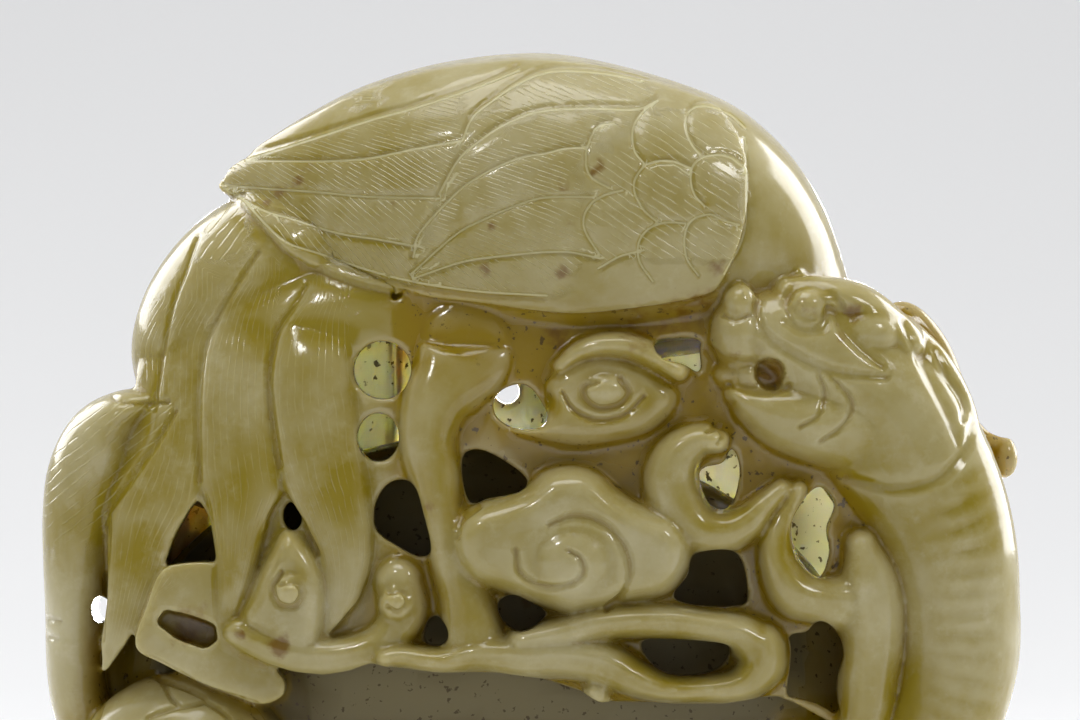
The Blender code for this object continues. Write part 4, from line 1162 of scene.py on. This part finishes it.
@dataclass(frozen=True)
class SurfaceNotes:
    """Values written on the skin's points for the jade's finish to read.

    Attributes:
        pierced_oval: centre and half sizes of the pierced part.
        shaded_oval: centre and half sizes of the hollow under the clouds that gets painted shade.
        shaded_from: squares down at which it begins.
        behind_depth: depth that parts the near forms from the far ones.
        far_depth: depth from which the far wall is painted milky pale: painted light that stands in for
            light shining through it.
        bend: how far a point stands off its smoothed place where the skin counts as a ridge.
        line_reach: how far from a wing line its distance is written.
        milky_and_glow_places: squares across, squares down, radius and strength of milky patches; the one
            on the lower left plume is painted light, a glow of light shining through it.
        stained_places: likewise.
    """

    wing: WingCarving = WingCarving()
    plume: PlumeCarving = PlumeCarving()
    pierced_oval: tuple[float, ...] = (560, 470, 400, 260)
    shaded_oval: tuple[float, ...] = (480, 640, 330, 190)
    shaded_from: float = 440.0
    behind_depth: float = 20.0
    far_depth: float = 60.0
    bend: float = 0.0006
    line_reach: float = 9.0
    milky_and_glow_places: Points = (
        (573, 560, 150, 0.6), (602, 388, 48, 0.6), (790, 350, 110, 0.5), (960, 400, 90, 0.5),
        (1005, 600, 90, 0.5), (700, 470, 90, 0.4), (865, 600, 80, 0.5), (560, 655, 160, 0.35),
        (300, 610, 80, 0.5), (160, 690, 110, 0.6), (240, 430, 110, 0.3), (560, 40, 260, 0.5),
        (790, 190, 80, 0.5), (90, 420, 60, 0.5), (68, 655, 70, 0.95), (440, 450, 90, 0.3),
    )
    stained_places: Points = (
        (297, 181, 6, 1.0), (280, 192, 8, 0.9), (268, 202, 6, 0.7), (310, 168, 6, 0.7),
        (398, 207, 7, 0.7), (403, 170, 5, 0.6), (493, 226, 6, 0.7), (485, 270, 10, 0.7),
        (603, 166, 5, 0.9), (592, 174, 5, 0.7), (563, 190, 8, 0.7), (550, 173, 5, 0.6),
        (657, 199, 6, 0.6), (562, 275, 12, 0.7), (573, 228, 6, 0.7), (700, 302, 14, 0.8),
        (553, 338, 13, 1.0), (640, 328, 26, 0.55), (680, 316, 26, 0.6), (282, 645, 12, 1.0),
        (243, 632, 6, 0.9), (850, 312, 12, 0.8), (768, 373, 15, 0.9), (190, 626, 22, 0.8),
        (736, 356, 9, 0.5), (840, 335, 10, 0.5), (803, 308, 15, 0.42), (715, 268, 12, 0.5),
        (430, 505, 8, 0.5), (520, 600, 12, 0.6),
    )

    def write(self, obj: bpy.types.Object, feathers: tuple[Points, ...]) -> None:
        """Writes the notes as attributes.

        Args:
            obj: the finished skin.
            feathers: the tail feathers' bands.
        """
        mesh = obj.data
        points, normals = mesh_arrays(mesh)
        across, down, depth = SHEET.squares(points)
        facing = np.abs(normals[:, 1])
        rows, strength = self.wing.barb_rows(across, down)
        ring = smooth_path(self.wing.outline, closed=True)
        strength *= inside(across, down, ring) * np.clip(facing * 3 - 0.3, 0, 1)
        hair, combed = self._tail_hair(across, down, depth, feathers)
        slant, slanting = self.plume.barb_rows(across, down)
        free = strength < 0.01
        plume = free & (slanting > 0.01)
        rows = np.where(plume, slant, np.where(free, hair, rows))
        strength = np.where(plume, slanting, np.where(free, combed * 0.25, strength))
        self._store(mesh, "stroke_row", rows)
        self._store(mesh, "stroke_strength", strength)
        recess = self._recess(across, down, depth)
        self._store(mesh, "recess", recess)
        within = in_oval(across, down, self.pierced_oval)
        under = in_oval(across, down, self.shaded_oval) & (down > self.shaded_from)
        behind = depth > self.behind_depth
        # Painted shade: the deep hollow under the clouds is darkened where little light reaches it.
        dark = np.clip((recess - 0.55) * 5, 0, 1) * (depth < self.behind_depth) * (normals[:, 1] < 0.3)
        self._store(mesh, "painted_shade_mask", dark * under)
        # Painted light: the far wall's inner faces seen through the openings are made near-white, standing
        # in for light shining through them.
        self._store(mesh, "far_inside_painted_light", behind * (normals[:, 1] < -0.1) * (recess > 0.3) * within)
        # Milky patches of the stone, with painted light: a glow on the lower left plume and the far wall
        # made pale, standing in for light shining through them.
        milk_and_glow = self._soft_places(self.milky_and_glow_places, across, down)
        self._store(mesh, "milk_and_glow", np.maximum(milk_and_glow, 0.9 * (depth > self.far_depth) * within))
        self._store(mesh, "stain", self._soft_places(self.stained_places, across, down) * (depth < 0))
        self._store(mesh, "hollow", self._hollow(mesh, points, normals))
        side, gap = self._line_fields(across, down, facing)
        self._store(mesh, "line_side", side)
        self._store(mesh, "line_gap", gap)

    @staticmethod
    def _store(mesh: bpy.types.Mesh, name: str, values: np.ndarray) -> None:
        """One number for each point, under a name."""
        attribute = mesh.attributes.new(name, "FLOAT", "POINT")
        attribute.data.foreach_set("value", np.ascontiguousarray(values, np.float32))

    @staticmethod
    def _soft_places(places: Points, across: np.ndarray, down: np.ndarray) -> np.ndarray:
        """Round soft-edged places: squares across, squares down, radius and strength."""
        found = np.zeros(len(across))
        for x, y, radius, strength in places:
            found = np.maximum(found, strength * np.exp(-((across - x) ** 2 + (down - y) ** 2) / radius**2))
        return found

    @staticmethod
    def _recess(across: np.ndarray, down: np.ndarray, depth: np.ndarray) -> np.ndarray:
        """0 on the carving's outermost forms, 1 deep between them."""
        surface = -SHEET.round_front(across, down)
        tail = np.clip((416 - across) / 50, 0, 1) * np.clip((down - 240) / 20, 0, 1)
        surface += tail * np.minimum(0, -SHEET.tail_front(across, down) - surface)
        return np.clip((surface - np.abs(depth)) / 90, 0, 1) * np.clip((down - 262) / 34, 0, 1)

    def _hollow(self, mesh: bpy.types.Mesh, points: np.ndarray, normals: np.ndarray) -> np.ndarray:
        """0.5 on flat skin, more in grooves and corners, less on ridges."""
        ends = np.empty(len(mesh.edges) * 2, np.int64)
        mesh.edges.foreach_get("vertices", ends)
        a, b = ends.reshape(-1, 2).T
        count = np.bincount(a, minlength=len(points)) + np.bincount(b, minlength=len(points))
        smooth = points.copy()
        for _ in range(8):
            total = np.stack(
                [
                    np.bincount(a, smooth[b, k], len(points)) + np.bincount(b, smooth[a, k], len(points))
                    for k in range(3)
                ],
                axis=1,
            )
            smooth = 0.4 * smooth + 0.6 * total / np.maximum(count, 1)[:, None]
        bend = ((smooth - points) * normals).sum(axis=1)
        return np.clip(0.5 + bend / self.bend, 0, 1)

    @staticmethod
    def _tail_hair(
        across: np.ndarray, down: np.ndarray, depth: np.ndarray, feathers: tuple[Points, ...],
    ) -> tuple[np.ndarray, np.ndarray]:
        """The running number of the fine hairs along each tail feather, and how strongly they show."""
        hair, combed = np.zeros(len(across)), np.zeros(len(across))
        best = np.full(len(across), np.inf)
        for points in feathers:
            path = smooth_path(points)
            gap, found = near_path(across, down, path[:, :3])
            centre = np.interp(down, path[:, 1], path[:, 0])
            part = gap / np.maximum(found[:, 0], 1)
            closer = (part < best) & (gap < found[:, 0] * 1.2)
            best = np.where(closer, part, best)
            share = (across - centre) / np.maximum(np.interp(down, path[:, 1], path[:, 2]), 4)
            hair = np.where(closer, share * 5.5, hair)
            combed = np.where(closer, 1.0, combed)
        return hair, combed * (np.abs(depth) > 40)

    def _line_fields(
        self, across: np.ndarray, down: np.ndarray, facing: np.ndarray,
    ) -> tuple[np.ndarray, np.ndarray]:
        """Signed and plain distance to the nearest engraved wing line, in squares, up to the reach."""
        reach = self.line_reach
        best, side = np.full(len(across), reach), np.full(len(across), reach)
        for path in self.wing.lines():
            index = np.flatnonzero(beside(across, down, path, reach) & (facing > 0.15))
            for start, end in zip(path[:-1], path[1:]):
                run = end - start
                x, y = across[index] - start[0], down[index] - start[1]
                share = np.clip((x * run[0] + y * run[1]) / max(run @ run, TINY), 0, 1)
                gap = np.hypot(x - share * run[0], y - share * run[1])
                turn = (run[0] * y - run[1] * x) / max(np.hypot(*run), TINY)
                closer = gap < best[index]
                best[index[closer]] = gap[closer]
                side[index[closer]] = np.clip(turn[closer], -reach, reach)
        return side, best


class Socket(Enum):
    """The kinds of socket that the node groups have."""

    NUMBER = "NodeSocketFloat"


class Graph:
    """A node tree under construction, with short calls for the nodes that the jade needs."""

    def __init__(self, tree: bpy.types.NodeTree) -> None:
        """Keeps the tree that nodes are added to."""
        self.tree = tree

    def node(self, kind: str, **settings: object) -> bpy.types.Node:
        """A new node with its settings."""
        made = self.tree.nodes.new(kind)
        for name, value in settings.items():
            setattr(made, name, value)
        return made

    def link(self, source: bpy.types.NodeSocket, target: bpy.types.NodeSocket) -> None:
        """A link from one socket to another."""
        self.tree.links.new(source, target)

    def feed(self, target: bpy.types.NodeSocket, value: object) -> None:
        """A value or another node's socket into an input."""
        if isinstance(value, bpy.types.NodeSocket):
            self.link(value, target)
        else:
            target.default_value = value

    def math(self, operation: str, *values: object, clamp: bool = False) -> bpy.types.NodeSocket:
        """The result of a Math node."""
        made = self.node("ShaderNodeMath", operation=operation, use_clamp=clamp)
        for socket, value in zip(made.inputs, values):
            self.feed(socket, value)
        return made.outputs[0]

    def ramp(
        self, value: object, low: object, high: float, start: float = 0.0, end: float = 1.0
    ) -> bpy.types.NodeSocket:
        """A value from low to high, eased to the range start to end."""
        made = self.node("ShaderNodeMapRange", interpolation_type="SMOOTHSTEP")
        for socket, given in zip(made.inputs, (value, low, high, start, end)):
            self.feed(socket, given)
        return made.outputs[0]

    def mix(self, share: object, first: object, second: object) -> bpy.types.NodeSocket:
        """Two colours mixed."""
        made = self.node("ShaderNodeMix", data_type="RGBA")
        self.feed(made.inputs[0], share)
        self.feed(made.inputs[6], first)
        self.feed(made.inputs[7], second)
        return made.outputs[2]

    def noise(self, scale: float, detail: float = 3.0, roughness: float = 0.5) -> bpy.types.NodeSocket:
        """Noise over the object's own coordinates, from 0 to 1."""
        made = self.node("ShaderNodeTexNoise")
        made.inputs["Scale"].default_value = scale
        made.inputs["Detail"].default_value = detail
        made.inputs["Roughness"].default_value = roughness
        self.link(self.node("ShaderNodeTexCoord").outputs["Object"], made.inputs["Vector"])
        return made.outputs["Fac"]

    def attribute(self, name: str) -> bpy.types.NodeSocket:
        """A number written on the mesh's points."""
        return self.node("ShaderNodeAttribute", attribute_name=name).outputs["Fac"]


def new_group(
    name: str, inputs: dict[str, tuple[Socket, object]], outputs: dict[str, Socket]
) -> tuple[Graph, dict, dict]:
    """A shader node group with named sockets.

    Args:
        name: the group's name.
        inputs: each input's kind and value.
        outputs: each output's kind.

    Returns:
        The group's graph, its input sockets and its output sockets by name.
    """
    tree = bpy.data.node_groups.new(name, "ShaderNodeTree")
    for key, (kind, value) in inputs.items():
        socket = tree.interface.new_socket(key, in_out="INPUT", socket_type=kind.value)
        socket.default_value = value
    for key, kind in outputs.items():
        tree.interface.new_socket(key, in_out="OUTPUT", socket_type=kind.value)
    graph = Graph(tree)
    entry, leave = graph.node("NodeGroupInput"), graph.node("NodeGroupOutput")
    return graph, {key: entry.outputs[key] for key in inputs}, {key: leave.inputs[key] for key in outputs}


@dataclass(frozen=True)
class JadeFinish:
    """Pale yellow-green jade: milky where it is thick and raised, honey-brown in its recesses, with painted
    light where light shines through it and painted shade in the hollow under the clouds.

    Attributes:
        body: colour of the plain stone.
        milky: colour of its cloudy and raised places, also used as painted light where light glows through
            the stone.
        honey: colour of its recesses and grooves.
        painted_through_light: near-white colour of the far wall's inner faces seen through the openings:
            painted light that stands in for light shining through the far wall.
        shade: painted shade, a dark colour for the hollow under the clouds where little light reaches.
        rust: colour of the stains.
        dirt: colour of the specks in the recesses.
        line: colour of the engraved lines and fine strokes.
        roughness: roughness of the polish at its best.
        translucency: share of the light that enters the stone.
        glow: how far red, green and blue light spread in it, against each other.
        glow_depth: how far they spread, in metres.
    """

    body: tuple[float, ...] = (0.32, 0.245, 0.016, 1)
    milky: tuple[float, ...] = (0.56, 0.505, 0.30, 1)
    honey: tuple[float, ...] = (0.33, 0.215, 0.006, 1)
    painted_through_light: tuple[float, ...] = (0.97, 0.95, 0.84, 1)
    shade: tuple[float, ...] = (0.13, 0.095, 0.018, 1)
    rust: tuple[float, ...] = (0.20, 0.10, 0.004, 1)
    dirt: tuple[float, ...] = (0.09, 0.055, 0.012, 1)
    line: tuple[float, ...] = (0.70, 0.66, 0.38, 1)
    roughness: float = 0.12
    translucency: float = 0.7
    glow: tuple[float, ...] = (1.0, 0.96, 0.75)
    glow_depth: float = 0.0045

    def stroke_group(self) -> bpy.types.NodeTree:
        """A group that turns stroke numbers into thin broken lines."""
        graph, taken, given = new_group(
            "fine_strokes",
            {"Row": (Socket.NUMBER, 0.0), "Strength": (Socket.NUMBER, 1.0), "Width": (Socket.NUMBER, 0.15)},
            {"Mask": Socket.NUMBER},
        )
        wander = graph.math("MULTIPLY", graph.noise(160, 2.0), 0.9)
        row = graph.math("ADD", taken["Row"], wander)
        off = graph.math("ABSOLUTE", graph.math("SUBTRACT", graph.math("FRACT", row), 0.5))
        broken = graph.ramp(graph.noise(420, 2.0), 0.36, 0.56)
        lines = graph.math("MULTIPLY", graph.ramp(off, taken["Width"], 0.0), broken)
        graph.link(graph.math("MULTIPLY", lines, taken["Strength"], clamp=True), given["Mask"])
        return graph.tree

    def build(self) -> bpy.types.Material:
        """The jade material."""
        material = bpy.data.materials.new("polished_jade")
        material.use_nodes = True
        graph = Graph(material.node_tree)
        shader = material.node_tree.nodes["Principled BSDF"]
        recess, hollow = graph.attribute("recess"), graph.attribute("hollow")
        strokes = graph.node("ShaderNodeGroup", node_tree=self.stroke_group())
        graph.link(graph.attribute("stroke_row"), strokes.inputs["Row"])
        graph.link(graph.attribute("stroke_strength"), strokes.inputs["Strength"])
        side = graph.math("ABSOLUTE", graph.attribute("line_side"))
        line_end = graph.ramp(graph.attribute("line_gap"), 5.0, 3.0)
        drawn = graph.math("MULTIPLY", graph.ramp(side, 1.6, 0.5), line_end)
        marks = graph.math("MAXIMUM", graph.math("MULTIPLY", strokes.outputs["Mask"], 0.8), drawn)

        clouding = graph.ramp(graph.noise(60, 5.0, roughness=0.62), 0.35, 0.7, -0.25, 0.25)
        fleecy = graph.ramp(graph.noise(230, 4.0, roughness=0.7), 0.5, 0.75, 0.0, 0.25)
        # Milky patches of the stone, mixed with painted light: the glow on the lower left plume and on the
        # far wall, standing in for light shining through them.
        milk_and_glow = graph.math("ADD", graph.attribute("milk_and_glow"), graph.math("ADD", clouding, fleecy), clamp=True)
        base = graph.mix(milk_and_glow, self.body, self.milky)
        deep = graph.math("MULTIPLY", graph.ramp(recess, 0.12, 0.7), 0.9)
        base = graph.mix(deep, base, self.honey)
        # Painted light: the far wall's inner faces seen through the openings get a near-white colour that
        # stands in for light shining through them.
        base = graph.mix(graph.attribute("far_inside_painted_light"), base, self.painted_through_light)
        # Painted shade: the hollow under the clouds is darkened where little light reaches it.
        base = graph.mix(graph.math("MULTIPLY", graph.attribute("painted_shade_mask"), 0.9), base, self.shade)
        groove = graph.ramp(hollow, 0.62, 0.95)
        base = graph.mix(graph.math("MULTIPLY", groove, 0.5), base, self.honey)
        ridge = graph.ramp(hollow, 0.42, 0.12)
        base = graph.mix(graph.math("MULTIPLY", ridge, 0.35), base, self.milky)
        mottle = graph.math("SUBTRACT", graph.noise(520, 4.0), 0.75)
        mottled = graph.math("ADD", graph.attribute("stain"), mottle)
        base = graph.mix(graph.ramp(mottled, 0.0, 0.5, 0.0, 0.85), base, self.rust)
        dusty = graph.ramp(recess, 0.3, 0.6)
        specks = graph.math("MULTIPLY", graph.ramp(graph.noise(900, 3.0), 0.63, 0.68), dusty)
        base = graph.mix(graph.math("MULTIPLY", specks, 0.85), base, self.dirt)
        base = graph.mix(graph.math("MULTIPLY", marks, 0.6), base, self.line)
        graph.link(base, shader.inputs["Base Color"])

        uneven = graph.math("MULTIPLY", graph.ramp(graph.noise(220, 4.0), 0.3, 0.8), 0.08)
        rough = graph.math("ADD", self.roughness, uneven)
        rough = graph.math("ADD", rough, graph.math("MULTIPLY", marks, 0.25))
        rough = graph.math("ADD", rough, graph.math("MULTIPLY", graph.attribute("painted_shade_mask"), 0.35))
        rough = graph.math("ADD", rough, graph.math("MULTIPLY", groove, 0.2), clamp=True)
        graph.link(rough, shader.inputs["Roughness"])

        bump = graph.node("ShaderNodeBump")
        bump.inputs["Strength"].default_value = 0.6
        bump.inputs["Distance"].default_value = 0.00025
        swell = graph.math("MULTIPLY", graph.noise(260, 3.0), 0.25)
        graph.link(graph.math("SUBTRACT", swell, marks), bump.inputs["Height"])
        graph.link(bump.outputs["Normal"], shader.inputs["Normal"])

        shader.inputs["Metallic"].default_value = 0.0
        shader.inputs["IOR"].default_value = 1.61
        shader.inputs["Subsurface Weight"].default_value = self.translucency
        shader.inputs["Subsurface Radius"].default_value = self.glow
        shader.inputs["Subsurface Scale"].default_value = self.glow_depth
        return material


@dataclass(frozen=True)
class Lamp:
    """A square area light: its name, its place, its power in watts and its side in metres."""

    name: str
    place: tuple[float, float, float]
    power: float
    size: float


@dataclass(frozen=True)
class Studio:
    """A pale floor that rises behind the carving, soft lights and the camera.

    Attributes:
        sweep_run: length of the paper from its front edge to its upper one.
        sweep_flat: how much of it lies flat.
        sweep_radius: radius of its bend.
        sweep_front: depth of its front edge.
        sweep_half_width: half its width.
        aim: the point that every lamp looks at.
        lamps: the soft lamps round the carving.
        paper: the sweep's colour.
        lens: the camera's focal length in millimetres.
        picture_middle: squares across and down at the picture's middle.
        picture_width: squares that the picture is wide.
        focus_depth: depth of the plane that is framed so, in squares.
        front_room: the room's brightness in front of the carving.
        back_room: its brightness behind it.
        paper_glow: how much the sweep shines by itself.
    """

    sweep_run: float = 4.0
    sweep_flat: float = 1.6
    sweep_radius: float = 0.6
    sweep_front: float = -1.2
    sweep_half_width: float = 3.0
    aim: tuple[float, float, float] = (0, 0, 0.065)
    lamps: tuple[Lamp, ...] = (
        Lamp("rim_left", (-0.45, 0.45, 0.35), 2.2, 0.4),
        Lamp("rim_right", (0.5, 0.35, 0.25), 2.6, 0.4),
        Lamp("overhead", (-0.05, -0.10, 0.6), 1.5, 0.4),
        Lamp("window_right", (0.5, -0.35, 0.45), 0.7, 0.14),
        Lamp("window_left", (-0.3, -0.5, 0.5), 0.5, 0.06),
        Lamp("through_light", (0.0, 0.28, 0.04), 3.2, 0.14),
    )
    paper: tuple[float, ...] = (0.30, 0.302, 0.306, 1)
    lens: float = 300.0
    picture_middle: tuple[float, float] = (540.0, 360.0)
    picture_width: float = 1080.0
    focus_depth: float = -100.0
    front_room: float = 0.15
    back_room: float = 0.85
    paper_glow: float = 0.52

    def floor(self) -> None:
        """A sweep of paper: the floor and the backdrop in one."""
        bm = bmesh.new()
        bmesh.ops.create_grid(bm, x_segments=2, y_segments=60, size=1)
        for vert in bm.verts:
            run = (vert.co.y + 1) / 2 * self.sweep_run
            bend = self.sweep_radius * math.pi / 2
            arc = min(max(run - self.sweep_flat, 0), bend)
            rest = max(run - self.sweep_flat - bend, 0)
            turn = arc / self.sweep_radius
            y = min(run, self.sweep_flat) + self.sweep_radius * math.sin(turn) + self.sweep_front
            z = self.sweep_radius * (1 - math.cos(turn)) + rest
            vert.co = (vert.co.x * self.sweep_half_width, y, z)
        bmesh.ops.recalc_face_normals(bm, faces=bm.faces)
        sweep = new_object("paper_sweep", bm)
        sweep.data.shade_smooth()
        material = bpy.data.materials.new("paper")
        material.use_nodes = True
        shader = material.node_tree.nodes["Principled BSDF"]
        shader.inputs["Base Color"].default_value = self.paper
        shader.inputs["Roughness"].default_value = 0.9
        shader.inputs["Emission Color"].default_value = (1.0, 1.003, 1.015, 1)
        shader.inputs["Emission Strength"].default_value = self.paper_glow
        sweep.data.materials.append(material)

    def light(self, lamp: Lamp) -> None:
        """An area light that looks at the carving's middle."""
        data = bpy.data.lights.new(lamp.name, "AREA")
        data.energy = lamp.power
        data.size = lamp.size
        made = bpy.data.objects.new(lamp.name, data)
        made.location = lamp.place
        made.rotation_euler = (Vector(self.aim) - Vector(lamp.place)).to_track_quat("-Z", "Y").to_euler()
        made.visible_camera = False
        bpy.context.scene.collection.objects.link(made)

    def lights(self) -> None:
        """A room that is brighter behind the carving, and soft lamps for its rims and glints."""
        bpy.context.scene.world = self.room()
        for lamp in self.lamps:
            self.light(lamp)

    def room(self) -> bpy.types.World:
        """The world: dim in front of the carving, bright behind it."""
        world = bpy.data.worlds.new("bright_room")
        world.use_nodes = True
        graph = Graph(world.node_tree)
        way = graph.node("ShaderNodeSeparateXYZ")
        graph.link(graph.node("ShaderNodeTexCoord").outputs["Generated"], way.inputs[0])
        power = graph.ramp(way.outputs["Y"], -0.6, 0.6, self.front_room, self.back_room)
        background = world.node_tree.nodes["Background"]
        background.inputs["Color"].default_value = (1.0, 1.0, 1.0, 1)
        graph.link(power, background.inputs["Strength"])
        return world

    def camera(self) -> None:
        """A long lens square to the carved front, framed as the photo is."""
        data = bpy.data.cameras.new("camera")
        data.lens = self.lens
        data.clip_start = 0.05
        data.clip_end = 20
        data.sensor_width = 36
        made = bpy.data.objects.new("camera", data)
        bpy.context.scene.collection.objects.link(made)
        bpy.context.scene.camera = made
        bpy.context.scene.view_settings.view_transform = "Standard"
        x, y, z = SHEET.metres(*self.picture_middle, self.focus_depth)
        reach = self.picture_width * SQUARE * self.lens / data.sensor_width
        made.location = (x, y - reach, z)
        made.rotation_euler = (math.pi / 2, 0, 0)


@dataclass
class Carving:
    """The whole carving, from its forms to its dressed skin.

    Attributes:
        work: how finely the skin is worked.
        polish_factor: how far each round of polish moves a point.
        polish_reach: how far in metres the polish softens an edge.
        polish_rounds: rounds of polish for a grain as wide as that reach.
    """

    work: Work
    polish_factor: float = 0.5
    polish_reach: float = 0.0009
    polish_rounds: int = 3
    bird: Bird = field(default_factory=Bird)
    front: Wall = FRONT_CLOUDS
    far: Wall = FAR_CLOUDS
    beast: Beast = field(default_factory=Beast)
    engraver: Engraver = field(default_factory=Engraver)

    def skin(self) -> bpy.types.Object:
        """One closed skin over every form."""
        forms = self.bird.build()
        forms += [self.front.build("front_clouds", Side.FRONT), self.far.build("far_clouds", Side.FAR)]
        forms += self.beast.build()
        log.info("built %d closed forms", len(forms))
        whole = joined("jade_skin", forms)
        remesh = whole.modifiers.new("one_skin", "REMESH")
        remesh.mode = "VOXEL"
        remesh.voxel_size = self.work.grain
        whole = baked(whole)
        polish = whole.modifiers.new("polish", "SMOOTH")
        polish.factor = self.polish_factor
        polish.iterations = round(self.polish_reach / self.work.grain * self.polish_rounds)
        whole = baked(whole)
        log.info("fused into %d faces", len(whole.data.polygons))
        return whole

    def thin(self, whole: bpy.types.Object) -> bpy.types.Object:
        """The skin with no more triangles than it may have, cut flat under its foot."""
        triangles = sum(len(face.vertices) - 2 for face in whole.data.polygons)
        fewer = whole.modifiers.new("fewer", "DECIMATE")
        fewer.ratio = min(1.0, self.work.triangles / triangles)
        whole = baked(whole)
        bm = bmesh.new()
        bm.from_mesh(whole.data)
        whole_geometry = bm.verts[:] + bm.edges[:] + bm.faces[:]
        found = bmesh.ops.bisect_plane(
            bm, geom=whole_geometry, plane_co=(0, 0, 0), plane_no=(0, 0, 1), clear_inner=True
        )
        rim = [g for g in found["geom_cut"] if isinstance(g, bmesh.types.BMEdge)]
        bmesh.ops.holes_fill(bm, edges=rim)
        bmesh.ops.dissolve_degenerate(bm, dist=1e-6, edges=bm.edges)
        bmesh.ops.triangulate(bm, faces=bm.faces)
        corners = Counter(frozenset(face.verts) for face in bm.faces)
        flaps = [face for face in bm.faces if corners[frozenset(face.verts)] > 1]
        bmesh.ops.delete(bm, geom=flaps, context="FACES")
        bmesh.ops.recalc_face_normals(bm, faces=bm.faces)
        bm.to_mesh(whole.data)
        bm.free()
        return whole

    def build(self) -> bpy.types.Object:
        """The dressed carving, which stands for the solid."""
        whole = self.skin()
        self.engraver.carve(whole, self.work.grain, self.beast.neck)
        whole = self.thin(whole)
        whole.name = "jade_carving_skin"
        whole.data.shade_smooth()
        SurfaceNotes(self.engraver.wing).write(whole, self.bird.feathers)
        whole.data.materials.clear()
        whole.data.materials.append(JadeFinish().build())
        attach(whole, "root")
        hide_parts(NODE)
        log.info("%s: %d faces", whole.name, len(whole.data.polygons))
        return whole


def main() -> None:
    """Builds the carving, the studio and the camera."""
    logging.basicConfig(level=logging.INFO, format="%(message)s")
    studio = Studio()
    studio.camera()
    studio.floor()
    studio.lights()
    Carving(Work.FINE).build()


if __name__ == "__main__":
    main()
